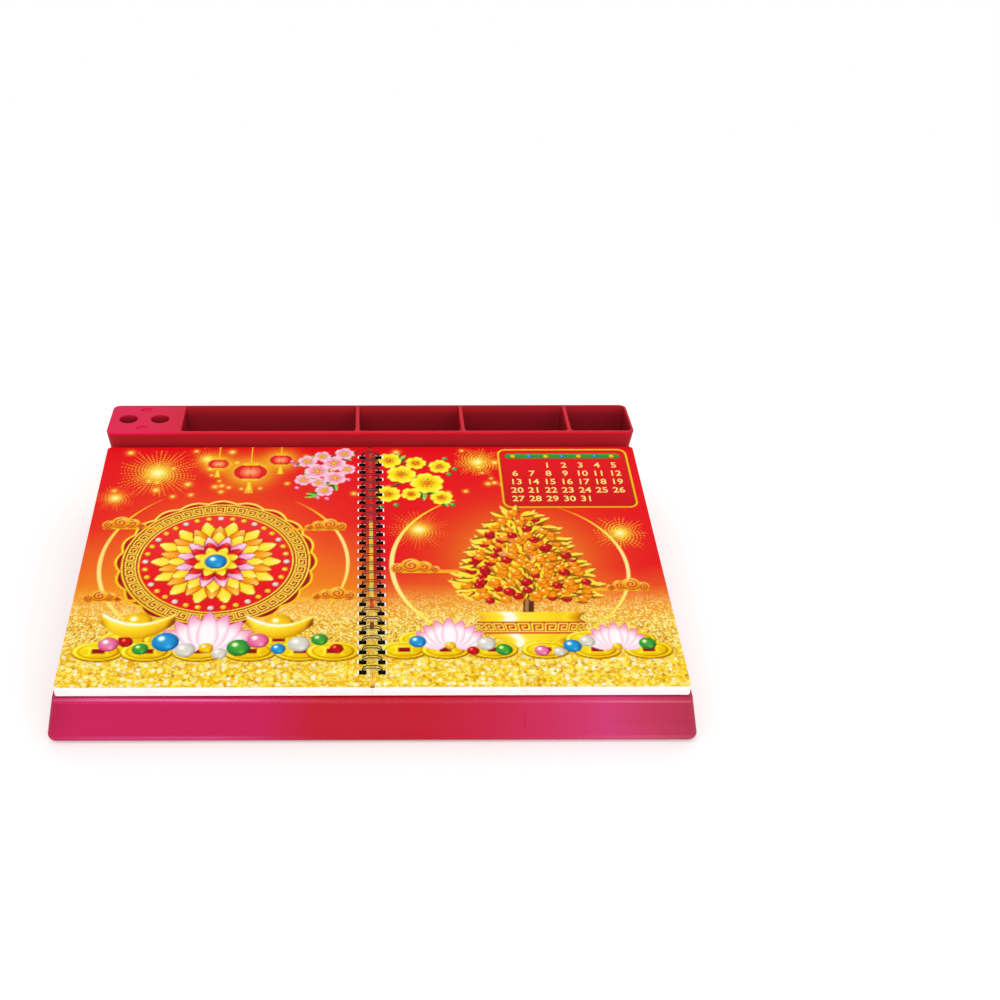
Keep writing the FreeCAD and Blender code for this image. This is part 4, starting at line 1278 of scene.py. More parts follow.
    def ingot(self, x: float, y: float, width: float) -> None:
        """Boat-shaped ingot: a dome behind a hull whose rim and keel climb with the square of the distance.

        Args:
            x, y: its middle.
            width: from end to end.
        """
        half = width / 2
        patch = self.near(x, y, half + 2)
        s = patch.dx / half
        rim = half * (0.12 + 0.42 * s**2)
        keel = half * (-0.52 + 0.62 * s**2)
        self.bead(x, y + half * 0.14, half * 0.4, Ink.GOLD)
        middle = (rim + keel) / 2
        thick = np.maximum((rim - keel) / 2, 0)
        across = (patch.dy - middle) / np.maximum(thick, 0.2)
        light = 0.56 + 0.26 * across - 0.18 * s + 0.3 * hump(across, 0.78, 0.16)
        light -= 0.35 * smooth(0.7, 1, np.abs(s)) * (across < 0.4)
        distance = np.maximum(np.abs(patch.dy - middle) - thick, np.abs(patch.dx) - half)
        self.lay(patch, distance, Ink.GOLD, light)

    def burst(self, x: float, y: float, radius: float, rays: int, ink: Ink, seed: float) -> None:
        """Firework: each ray is a dashed line whose width shrinks outwards, round a bright glow.

        Args:
            x, y: its middle.
            radius: of the longest rays.
            rays: how many.
            ink: of the sparks.
            seed: shifts the dashes from ray to ray.
        """
        patch = self.near(x, y, radius + 1)
        turn = patch.angle / TURN * rays
        number = np.round(turn)
        length = radius * (0.72 + 0.28 * np.sin(number * 2.4 + seed) ** 2)
        reach = patch.radius / length
        aside = np.abs(turn - number) * TURN / rays * patch.radius
        dash = np.sin(patch.radius * 2.6 + number * 1.7 + seed) - 0.1
        width = 0.5 * (1 - 0.5 * reach)
        distance = np.maximum(aside - width, np.maximum(reach - 1, -dash) * 0.8)
        self.lay(patch, distance, ink, 0.95 - 0.3 * reach, 0.92)
        self.halo(x, y, radius * 0.3, Ink.YELLOW, 0.95)

    def cloud(self, x: float, y: float, size: float, way: int) -> None:
        """Scrolled cloud: a row of curls, each a disc with a spiral, on a long tail.

        Args:
            x, y: the middle of the largest curl.
            size: radius of that curl.
            way: 1 if the tail runs to the right, -1 to the left.
        """
        curls = ((2.3, -0.28, 0.5), (-1.25, -0.1, 0.72), (1.25, 0.12, 0.8), (0, 0.3, 1))
        tail = [(x - way * size * 1.6, y - size * 0.62), (x + way * size * 4.4, y - size * 0.62)]
        self.line(tail, size * 0.42, Ink.GOLD, 0.42)
        self.line(tail, size * 0.2, Ink.ORANGE, 0.75)
        for across, up, share in curls:
            cx, cy, radius = x + way * across * size, y + up * size, share * size
            patch = self.near(cx, cy, radius + 1)
            light = 0.52 + 0.3 * patch.dy / radius
            self.lay(patch, patch.radius - radius, Ink.GOLD, light - 0.2)
            self.lay(patch, patch.radius - radius * 0.86, Ink.ORANGE, 0.72 + 0.2 * patch.dy / radius)
            turn = np.linspace(0, 1, 28)
            angle = math.pi * 0.5 + way * turn * TURN * 1.4
            reach = radius * 0.72 * (1 - 0.82 * turn)
            spiral = np.stack([cx + reach * np.cos(angle), cy + reach * np.sin(angle)], axis=1)
            self.line(spiral, max(size * 0.11, 0.7), Ink.WINE, 0.6)

    def lantern(self, x: float, top: float, radius: float, drop: float) -> None:
        """Lantern on a string: a flattened ball with ribs along its meridians, two caps and a tassel.

        Args:
            x: across.
            top: where the string starts.
            radius: of the body, across.
            drop: length of the string.
        """
        y = top - drop - radius * 0.82
        self.line([(x, top), (x, y)], 0.7, Ink.GOLD, 0.6)
        self.halo(x, y, radius * 1.25, Ink.YELLOW, 0.75)
        patch = self.near(x, y, radius + 1)
        nx, ny = patch.dx / radius, patch.dy / (radius * 0.82)
        girth = dome(ny)
        meridian = np.arcsin(np.clip(nx / np.maximum(girth, 0.05), -1, 1))
        rib = hump(np.sin(meridian * 4), 0, 0.2)
        light = 0.42 + 0.5 * np.cos(meridian) * girth - 0.3 * rib
        self.lay(patch, (np.hypot(nx, ny) - 1) * radius * 0.82, Ink.RED, light)
        glow = np.exp(-(nx**2 + ny**2) / 0.22)
        self.lay(patch, (np.hypot(nx, ny) - 0.95) * radius, Ink.ORANGE, 0.8 + 0.2 * glow, 0.62 * glow)
        for level in (0.8, -0.8):
            self.panel(x, y + level * radius, (radius * 0.95, radius * 0.2), 0.4, Ink.GOLD, 0.58)
            self.panel(x, y + level * radius * 1.12, (radius * 0.55, radius * 0.16), 0.4, Ink.GOLD, 0.4)
        knot = y - radius * 1.16
        self.bead(x, knot, radius * 0.14, Ink.GOLD)
        for share in np.linspace(-1, 1, 7):
            thread = [(x + share * radius * 0.07, knot), (x + share * radius * 0.24, knot - radius * 0.95)]
            self.line(thread, 0.55, Ink.GOLD, 0.5 + 0.25 * (1 - share**2))

    def fret(self, patch: Patch, along: Floats, across: Floats, pitch: float, share: float) -> None:
        """Gold key pattern: a squared spiral, repeated by the length along the band modulo its pitch.

        Args:
            patch: where.
            along: length along the band.
            across: from the band's middle.
            pitch: length of one spiral.
            share: light of the stroke.
        """
        steps = np.array([
            (0, -0.42), (0, 0.42), (0.78, 0.42), (0.78, -0.2), (0.28, -0.2), (0.28, 0.14), (0.54, 0.14),
        ])
        foot = np.array([(0, -0.42), (1, -0.42)])
        local = np.mod(along, pitch)
        runs = ((local, steps), (local, foot), (local - pitch, steps))
        distances = [to_segments(place, across, corners * pitch) for place, corners in runs]
        self.lay(patch, np.min(distances, axis=0) - pitch * 0.075, Ink.GOLD, share)

    def fret_ring(self, x: float, y: float, radius: float, pitch: float) -> None:
        """Ring of key pattern on a dark band between two gold wires.

        Args:
            x, y: its middle.
            radius: of the band's middle line.
            pitch: about the length of one spiral.
        """
        patch = self.near(x, y, radius + pitch + 2)
        self.lay(patch, np.abs(patch.radius - radius) - pitch * 0.66, Ink.WINE, 0.55)
        around = (patch.angle / TURN + 0.5) * round(TURN * radius / pitch) * pitch
        self.fret(patch, around, patch.radius - radius, pitch, 0.74)
        self.ring(x, y, radius + pitch * 0.72, pitch * 0.18, Ink.GOLD)
        self.ring(x, y, radius - pitch * 0.72, pitch * 0.18, Ink.GOLD)

    def scallops(self, x: float, y: float, radius: float, lobes: int) -> None:
        """Dark red medallion in gold, whose edge swells with the cosine of the lobes' angle.

        Args:
            x, y: its middle.
            radius: between the lobes.
            lobes: how many.
        """
        patch = self.near(x, y, radius * 1.1 + 1)
        edge = radius * (1 + 0.045 * np.abs(np.cos(patch.angle * lobes / 2)))
        light = 0.62 + 0.2 * patch.dy / radius
        self.lay(patch, patch.radius - edge, Ink.GOLD, light)
        self.lay(patch, patch.radius - edge + 1.6, Ink.WINE, light)

    def vessel(self, x: float, y: float, heights: list[float], halves: list[float]) -> None:
        """Turned gold vessel: its half width follows a profile, and its light the cosine round it.

        Args:
            x, y: the middle of its foot.
            heights: of the profile's points above the foot.
            halves: half widths at those points.
        """
        tall, wide = heights[-1], max(halves)
        patch = self.near(x, y + tall / 2, max(tall / 2, wide) + 2)
        level = patch.dy + tall / 2
        half = np.interp(level, heights, halves)
        n = np.clip(patch.dx / np.maximum(half, 0.1), -1, 1)
        light = 0.18 + 0.5 * dome(n) - 0.14 * n + 0.42 * hump(n, -0.42, 0.14)
        light += 0.16 * hump(n, 0.7, 0.1)
        distance = np.maximum(np.abs(patch.dx) - half, np.maximum(-level, level - tall))
        self.lay(patch, distance, Ink.GOLD, light)


# ---- the covers' art


class Side(Enum):
    """Side of the binding that a page lies on, with its sign along X."""

    LEFT = -1
    RIGHT = 1

    @property
    def word(self) -> str:
        """Name of the side as the nodes write it."""
        return self.name.lower()


@dataclass(frozen=True)
class Bough:
    """Flowering bough: branches, three leaves at each of some places, flowers and buds.

    The first branch is the main one.  A flower is x, y, its radius; a bud is x, y.
    """

    branches: tuple[tuple[list[Pair], float], ...]
    leaves_at: tuple[Pair, ...]
    leaf_length: Pair
    leaf_width: float
    flowers: tuple[tuple[float, float, float], ...]
    turn_step: float
    petals: Ink
    core: Ink
    buds: tuple[Pair, ...]
    bud_radius: float
    bud_ink: Ink
    seed: int

    def paint(self, page: Print) -> None:
        """Branches first, then leaves, flowers and buds.

        Args:
            page: to print on.
        """
        for points, width in self.branches:
            page.branch(points, width)
        draw = np.random.default_rng(self.seed)
        for x, y in self.leaves_at:
            for _ in range(3):
                length, angle = draw.uniform(*self.leaf_length), draw.uniform(0, TURN)
                page.leaf(x, y, length, self.leaf_width, angle, Ink.GREEN)
        for number, (x, y, radius) in enumerate(self.flowers):
            page.blossom(x, y, radius, self.turn_step * number, self.petals, self.core)
        for x, y in self.buds:
            page.bead(x, y, self.bud_radius, self.bud_ink)


@dataclass
class CoverArt(Print):
    """Print with the festive art of the left or the right cover."""

    seed: int = 8
    table_middle: Pair = (40, 82)
    table_size: Pair = (84, 62)
    table_pitch: Pair = (11.2, 9.4)

    def sparks(self, low: float, high: float, count: int, size: float) -> None:
        """Small glows scattered over the upper field, each round a bright one.

        Args:
            low: foot of the field.
            high: top of the field.
            count: how many.
            size: of the middling one.
        """
        draw = np.random.default_rng(self.seed)
        reach = self.x[-1] - 8
        for _ in range(count):
            x, y = draw.uniform(-reach, reach), draw.uniform(low, high)
            radius = size * draw.uniform(0.5, 1.3)
            self.halo(x, y, radius * 1.9, Ink.ORANGE, 0.75)
            self.halo(x, y, radius * 0.8, Ink.YELLOW, 1)

    def swirl(self, x: float, y: float, radius: float, arc: Pair, width: float) -> None:
        """Thin ribbon of light: a stroke that widens to the middle of an arc with the sine of its share.

        Args:
            x, y: the arc's middle.
            radius: of the arc.
            arc: its start from +X and its sweep, in radians.
            width: at its widest.
        """
        start, sweep = arc
        patch = self.near(x, y, radius + width + 1)
        turn = np.mod(patch.angle - start, TURN)
        swell = np.sin(np.clip(turn / sweep, 0, 1) * math.pi)
        distance = np.where(turn < sweep, np.abs(patch.radius - radius) - width / 2 * swell, 5)
        self.lay(patch, distance, Ink.YELLOW, 0.55 + 0.4 * swell, 0.85)

    def lotus(self, x: float, y: float, size: float) -> None:
        """Pink lotus seen from the side: petals fan out from its foot, the middle ones last.

        Args:
            x, y: its foot.
            size: length of its middle petal.
        """
        for angle in (-1.25, 1.25, -0.95, 0.95, -0.62, 0.62, -0.3, 0.3, 0):
            length = size * (1 - 0.18 * abs(angle))
            heading = math.pi / 2 - angle
            middle_x = x + math.sin(angle) * size * 0.14 + math.cos(heading) * length / 2
            patch = self.near(middle_x, y + math.sin(heading) * length / 2, length * 0.62 + 1)
            along, across = patch.turned(heading)
            s = 2 * along / length
            edge = size * 0.19 * dome(s) * (1 - 0.35 * s)
            light = 0.98 - 0.42 * smooth(0.1, 1, s)
            light -= 0.22 * smooth(0.5, 1, np.abs(across) / np.maximum(edge, 0.05))
            self.lay(patch, np.abs(across) - edge, Ink.PINK, light)
        self.bead(x, y + size * 0.02, size * 0.13, Ink.GOLD)

    def coin_row(self, y: float, places: list[float], radius: float) -> None:
        """Row of coins lying on the ground, seen at a slant, with dark undersides.

        Args:
            y: up the page.
            places: of the coins, across.
            radius: of a coin.
        """
        for x in places:
            patch = self.near(x, y - 1.1, radius + 1)
            self.lay(patch, (np.hypot(patch.dx, patch.dy / 0.52) - radius) * 0.6, Ink.GOLD, 0.12)
            self.coin(x, y, radius, 0.52)

    def left(self) -> None:
        """Fireworks, lanterns and pink blossoms over a lotus medallion; coins, ingots and beads in front."""
        self.sparks(58, 114, 30, 1.5)
        self.burst(-52, 88, 25, 44, Ink.YELLOW, 0.4)
        self.burst(-20, 104, 13, 32, Ink.ORANGE, 1.7)
        self.burst(-77, 60, 13, 32, Ink.ORANGE, 2.9)
        self.swirl(2, -6, 80, (2.2, 2.2), 2.6)
        self.swirl(0, -8, 76, (-0.7, 1.7), 2.2)
        for x, radius, drop in ((-12, 7, 14), (10, 11, 20), (30, 7.5, 9)):
            self.lantern(x, 118, radius, drop)
        self.pink_bough().paint(self)
        self.medallion(-6, -6, 57)
        self.cloud(-70, 32, 6, 1)
        self.cloud(64, 30, 5.6, -1)
        self.cloud(70, -38, 5.6, -1)
        self.cloud(-74, -40, 5, 1)
        self.coin_row(-78, [-54, -28, 10, 36], 15)
        self.coin_row(-88, [-68, -40, -10, 20, 49, 68], 15.5)
        self.ingot(-48, -66, 44)
        self.ingot(36, -67, 40)
        self.lotus(-6, -86, 33)
        beads = (
            (-30, -80, 8, Ink.BLUE), (-18, -87, 6, Ink.PEARL), (13, -85, 7, Ink.GREEN),
            (24, -79, 6.4, Ink.PINK), (48, -82, 6.6, Ink.PEARL), (-63, -82, 6, Ink.PINK),
            (2, -90, 4.6, Ink.PEARL), (60, -78, 5, Ink.GREEN), (36, -86, 4.4, Ink.BLUE),
            (-44, -86, 4.8, Ink.GREEN), (-53, -80, 4.2, Ink.RED), (70, -86, 4, Ink.RED),
        )
        for bead in beads:
            self.bead(*bead)

    def pink_bough(self) -> Bough:
        """Bough of pink blossoms that hangs in beside the wire."""
        main = [(81, 112), (70, 106), (62, 92), (66, 76), (58, 64)]
        upper_twig = [(70, 106), (54, 104), (42, 98)]
        lower_twig = [(62, 92), (50, 84), (44, 74)]
        return Bough(
            branches=((main, 2.6), (upper_twig, 1.9), (lower_twig, 1.9)),
            leaves_at=(*main[1:], (48, 101), (49, 82)),
            leaf_length=(8, 12),
            leaf_width=3.8,
            flowers=(
                (66, 99, 8.5), (55, 90, 9), (73, 110, 7), (67, 82, 8), (48, 101, 7), (46, 80, 6.5),
                (60, 68, 6.5), (58, 107, 6), (75, 92, 6), (56, 77, 5.4),
            ),
            turn_step=0.7,
            petals=Ink.PINK,
            core=Ink.YELLOW,
            buds=((40, 96), (38, 101), (42, 71), (56, 60), (62, 59), (76, 80)),
            bud_radius=1.9,
            bud_ink=Ink.PINK,
            seed=self.seed + 3,
        )

    def medallion(self, x: float, y: float, radius: float) -> None:
        """Scalloped red field with a ring of key pattern, a ring of beads and a layered rosette.

        Args:
            x, y: its middle.
            radius: of the whole, but for the scallops.
        """
        self.halo(x, y, radius * 1.05, Ink.ORANGE, 0.45)
        self.scallops(x, y, radius * 1.06, 20)
        self.fret_ring(x, y, radius * 0.93, radius * 0.125)
        middle = self.near(x, y, radius)
        self.lay(middle, middle.radius - radius * 0.83, Ink.RED, 0.74 + 0.06 * middle.dy / radius)
        beads, reach = 36, radius * 0.77
        for number in range(beads):
            angle = TURN * number / beads
            ink = Ink.PEARL if number % 3 == 0 else Ink.GOLD
            self.bead(x + reach * math.cos(angle), y + reach * math.sin(angle), radius * 0.034, ink)
        rings = [
            (1, 14, Ink.GOLD), (0.88, 14, Ink.ORANGE), (0.74, 12, Ink.GOLD), (0.62, 12, Ink.PINK),
            (0.48, 10, Ink.RED), (0.36, 8, Ink.GOLD),
        ]
        self.rosette(x, y, radius * 0.71, rings)

    def right(self) -> None:
        """A kumquat tree in a fret-banded bowl, between fireworks, clouds and yellow blossoms."""
        self.sparks(62, 114, 22, 1.4)
        self.burst(-60, 26, 19, 40, Ink.ORANGE, 0.2)
        self.burst(-18, 100, 15, 44, Ink.YELLOW, 2.2)
        self.burst(68, 22, 16, 34, Ink.YELLOW, 1.1)
        self.swirl(-4, -10, 74, (2, 2.4), 2.8)
        self.swirl(0, -12, 68, (-1.1, 2.2), 2.2)
        self.table_frame()
        self.tree(4, -54)
        self.bowl(4, -85)
        self.cloud(-66, -12, 6.4, 1)
        self.cloud(68, -30, 5.6, -1)
        self.yellow_bough().paint(self)
        self.coin_row(-78, [-62, -36, 36, 62], 13.5)
        self.coin_row(-87, [-72, -48, -20, 10, 40, 70], 14)
        self.lotus(-45, -84, 25)
        self.lotus(52, -85, 22)
        beads = (
            (-24, -82, 5.6, Ink.PEARL), (-14, -87, 4.8, Ink.GREEN), (26, -84, 5.4, Ink.BLUE),
            (35, -80, 4.6, Ink.PEARL), (-64, -80, 5, Ink.BLUE), (70, -82, 5, Ink.GREEN),
            (8, -88, 4.4, Ink.PINK), (18, -89, 3.6, Ink.PEARL), (-32, -88, 3.6, Ink.RED),
        )
        for bead in beads:
            self.bead(*bead)

    def table_frame(self) -> None:
        """Gold frame for the month of numbers, with a row of beads over its columns."""
        x, y = self.table_middle
        width, height = self.table_size
        plates = ((4, 6, Ink.GOLD, 0.55), (1.6, 5, Ink.WINE, 0.62), (0, 4.4, Ink.RED, 0.62))
        for wider, corner, ink, share in plates:
            self.panel(x, y, (width + wider, height + wider), corner, ink, share)
        self.panel(x, y + height * 0.4, (width - 6, 5.6), 2.6, Ink.GREEN, 0.42)
        for number in range(7):
            ink = Ink.BLUE if number % 2 else Ink.YELLOW
            self.bead(x + (number - 3) * self.table_pitch[0], y + height * 0.4, 1.7, ink)

    def tree(self, x: float, foot: float) -> None:
        """Clipped kumquat tree: rows of leaves and fruit fill a cone, from its foot upwards.

        Args:
            x: across.
            foot: of its trunk, up the page.
        """
        draw = np.random.default_rng(self.seed + 1)
        self.halo(x, foot + 50, 40, Ink.YELLOW, 0.34)
        self.branch([(x - 1, foot), (x + 0.5, foot + 14), (x, foot + 34)], 6.5)
        rows = 21
        for row in range(rows):
            share = row / (rows - 1)
            y = foot + 12 + 85 * share
            half = 44 * (1 - share) ** 0.66 * min(1, 0.74 + share * 2) + 2
            count = max(3, round(half / 1.9))
            for across in draw.permutation(np.linspace(-half, half, count)):
                heading = math.pi / 2 - 1.35 * across / half + draw.uniform(-0.7, 0.7)
                length = draw.uniform(9.5, 13)
                self.leaf(x + across * 0.9, y + draw.uniform(-3.4, 1.4), length, 5, heading, Ink.GOLD)
            fruits = max(1, round(half / 4.6))
            for number, across in enumerate(draw.permutation(np.linspace(-half, half, fruits) * 0.92)):
                shifted = across + draw.uniform(-1.8, 1.8)
                ink = Ink.RED if (row + number) % 3 == 0 else Ink.FRUIT
                self.bead(x + shifted, y + draw.uniform(-2.2, 2.2), draw.uniform(2.8, 3.8), ink)

    def bowl(self, x: float, foot: float) -> None:
        """Footed bowl with a dark band of key pattern, which runs round it with the arcsine of x.

        Args:
            x: across.
            foot: of the bowl, up the page.
        """
        heights = [0, 2.5, 6, 13, 21, 25, 27, 31]
        halves = [18, 20, 18.5, 30, 33, 29, 29.5, 34]
        middle, belly, half_band = 17, 33, 5.2
        self.vessel(x, foot, heights, halves)
        band = self.near(x, foot + middle, belly + 1)
        half_width = np.interp(band.dy + middle, heights, halves)
        angle = np.arcsin(np.clip(band.dx / half_width, -1, 1))
        inside = np.maximum(np.abs(band.dy) - half_band, np.abs(band.dx) - half_width)
        self.lay(band, inside, Ink.WINE, 0.5 + 0.3 * np.cos(angle))
        self.fret(band, angle * belly, np.where(inside < 0, band.dy, 1e3), 8.4, 0.72)

    def yellow_bough(self) -> Bough:
        """Bough of yellow blossoms that hangs in from the upper left corner."""
        main = [(-89, 106), (-74, 98), (-62, 84), (-56, 68), (-46, 58)]
        right_twig = [(-74, 98), (-56, 100), (-44, 94)]
        left_twig = [(-62, 84), (-76, 72), (-80, 58)]
        return Bough(
            branches=((main, 3.2), (right_twig, 2.2), (left_twig, 2.2)),
            leaves_at=tuple(main[1:]),
            leaf_length=(9, 13),
            leaf_width=4.4,
            flowers=(
                (-70, 86, 10.5), (-53, 76, 12), (-78, 102, 9), (-44, 95, 8), (-79, 64, 9),
                (-60, 99, 7.5), (-44, 60, 8), (-64, 64, 7),
            ),
            turn_step=0.5,
            petals=Ink.YELLOW,
            core=Ink.ORANGE,
            buds=((-38, 86), (-34, 92), (-37, 52), (-84, 50), (-74, 52), (-40, 104)),
            bud_radius=2,
            bud_ink=Ink.GREEN,
            seed=self.seed + 2,
        )


# ---- the calendar


@dataclass
class Numerals:
    """Printed numbers as thin raised shapes on the calendar's sheets."""

    deck: Deck
    thickness: float = 0.008
    points: list[Floats] = field(default_factory=list)
    faces: list[list[int]] = field(default_factory=list)

    def write(self, number: int, across: float, along: float, level: float, height: float) -> None:
        """Set one number with its middle at a place.

        Args:
            number: in plain digits.
            across: of the middle, in mm along X.
            along: of the middle, up the slope.
            level: of the sheet it is printed on.
            height: of the digits.
        """
        curve = bpy.data.curves.new("number", "FONT")
        curve.body = str(number)
        curve.align_x, curve.align_y = "CENTER", "CENTER"
        curve.size = height * 1.38
        curve.offset = 0.02 * height
        curve.resolution_u = 3
        curve.extrude = self.thickness / 2
        holder = bpy.data.objects.new("number", curve)
        mesh = bpy.data.meshes.new_from_object(holder)
        flat = np.zeros(len(mesh.vertices) * 3, np.float32)
        mesh.vertices.foreach_get("co", flat)
        places = flat.reshape(-1, 3) + np.array((across, along, level + self.thickness / 2))
        start = sum(len(points) for points in self.points)
        self.faces += [[corner + start for corner in face.vertices] for face in mesh.polygons]
        self.points.append(self.deck.world(places))
        bpy.data.objects.remove(holder)
        bpy.data.curves.remove(curve)
        bpy.data.meshes.remove(mesh)

    def build(self, name: str, material: Material) -> Piece:
        """All the numbers written so far as one piece.

        Args:
            name: of the piece.
            material: of the ink.

        Returns:
            The object, linked to the scene.
        """
        mesh = bpy.data.meshes.new(name)
        mesh.from_pydata(np.concatenate(self.points).tolist(), [], self.faces)
        mesh.materials.append(material)
        return put(name, mesh)


@dataclass
class Cover:
    """One card cover: a fine grid on its printed side, punched for the wire, and plain card on its inside."""

    side: Side
    deck: Deck
    hole_near: float = 3.3
    hole_far: float = 7.7
    hole_length: float = 4.0
    corner: float = 2.5
    step_across: float = 0.6
    step_along: float = 0.8
    slack: float = 1e-4

    def __post_init__(self) -> None:
        """Read the card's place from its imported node."""
        self.low, self.high = self.deck.extent(self.node)
        self.length = self.high[1] - self.low[1]

    @property
    def node(self) -> str:
        """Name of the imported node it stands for."""
        return f"{self.side.word}_cover"

    def hole_starts(self) -> Floats:
        """Front edge of each hole, from the card's front edge."""
        first = (self.length - (LOOPS - 1) * LOOP_PITCH) / 2
        return first + np.arange(LOOPS) * LOOP_PITCH - self.hole_length / 2

    def lines(self) -> tuple[Floats, Floats]:
        """Grid lines across and up the card, through every edge that the outline needs."""
        reach = sorted(abs(end) for end in (self.low[0], self.high[0]))
        across = [*reach, self.hole_near, self.hole_far, reach[1] - self.corner]
        starts = self.hole_starts()
        ends = (0, self.corner, self.length - self.corner, self.length)
        along = [*ends, *starts, *(starts + self.hole_length)]
        u = lines_between(across, self.step_across)
        v = lines_between(along, self.step_along)
        return (-u[::-1] if self.side is Side.LEFT else u), v

    def rounded(self, u: Floats, v: Floats) -> tuple[Floats, Floats]:
        """Grid with the two outer corners drawn in to quarter discs.

        A point of the corner square moves towards the square's inner corner by the larger of its two
        distances over the root of their squares' sum, which turns the square's outline into the circle's.

        Args:
            u: places across, over the whole grid.
            v: places up the card, over the whole grid.

        Returns:
            Both, moved.
        """
        far = max(abs(self.low[0]), abs(self.high[0])) - self.corner
        length = v.max()
        a = np.maximum(np.abs(u) - far, 0)
        b = np.maximum(np.maximum(v - (length - self.corner), self.corner - v), 0)
        squeeze = np.maximum(a, b) / np.maximum(np.hypot(a, b), 1e-9)
        squeeze = np.where((a > 0) & (b > 0), squeeze, 1)
        u = np.where(a > 0, np.sign(u) * (far + a * squeeze), u)
        edge = np.where(v > length / 2, length - self.corner + b * squeeze, self.corner - b * squeeze)
        return u, np.where(b > 0, edge, v)

    def build(self, front: Material, inside: Material) -> Piece:
        """The cover as one closed mesh that rides on its body.

        Args:
            front: finish of the printed side.
            inside: finish of the inside and the cut edges.

        Returns:
            The finished piece.
        """
        u, v = self.lines()
        middle = (u[0] + u[-1]) / 2
        page = CoverArt(u - middle, v - v[-1] / 2)
        (page.left if self.side is Side.LEFT else page.right)()
        flat_u, flat_v = self.rounded(*np.meshgrid(u, v))
        top = np.stack([flat_u, flat_v + self.low[1], np.full_like(flat_u, self.high[2])], axis=-1)
        top = top.reshape(-1, 3)
        bottom = top + (0, 0, self.low[2] - self.high[2])
        ink = page.ink()
        shell = Shell(self.deck.world(np.concatenate([top, bottom])), np.concatenate([ink, ink]))
        self.fill(shell, u, v)
        piece = shell.build(f"{self.node}_card", [front, inside])
        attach(piece, f"cover_{self.side.word}")
        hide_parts(self.node)
        return piece

    def fill(self, shell: Shell, u: Floats, v: Floats) -> None:
        """Faces between the grid's points: quads on top, one many-sided face per region below, and walls.

        Args:
            shell: with the grid's points, first on top and then below.
            u: grid lines across.
            v: grid lines up the card.
        """
        rows, columns = len(v), len(u)
        number = np.arange(rows * columns).reshape(rows, columns)
        from_binding = u if self.side is Side.RIGHT else -u[::-1]
        near, far = np.searchsorted(from_binding, np.array([self.hole_near, self.hole_far]) - self.slack)
        if self.side is Side.LEFT:
            near, far = columns - 1 - far, columns - 1 - near
        starts = self.hole_starts()
        first = np.searchsorted(v, starts - self.slack)
        last = np.searchsorted(v, starts + self.hole_length - self.slack)
        kept = np.ones((rows - 1, columns - 1), bool)
        for low, high in zip(first, last):
            kept[low:high, near:far] = False
        quads = np.stack([number[:-1, :-1], number[:-1, 1:], number[1:, 1:], number[1:, :-1]], axis=-1)
        shell.add(quads[kept])
        below = rows * columns

        def rim(low: int, high: int, left: int, right: int) -> Floats:
            """Numbers of the points round a block of the grid, against the clock seen from the top."""
            there = [number[low, left:right], number[low:high, right]]
            return np.concatenate([*there, number[high, right:left:-1], number[high:low:-1, left]])

        rings = [rim(0, rows - 1, 0, columns - 1)[::-1]]
        rings += [rim(low, high, near, far) for low, high in zip(first, last)]
        for ring in rings:
            ahead = np.roll(ring, -1)
            shell.add(np.stack([ring, ahead, ahead + below, ring + below], axis=-1), 1)
        blocks = [(0, rows - 1, 0, near), (0, rows - 1, far, columns - 1)]
        blocks += [(low, high, near, far) for low, high in zip([0, *last], [*first, rows - 1])]
        for block in blocks:
            shell.add(rim(*block)[::-1][None, :] + below, 1)


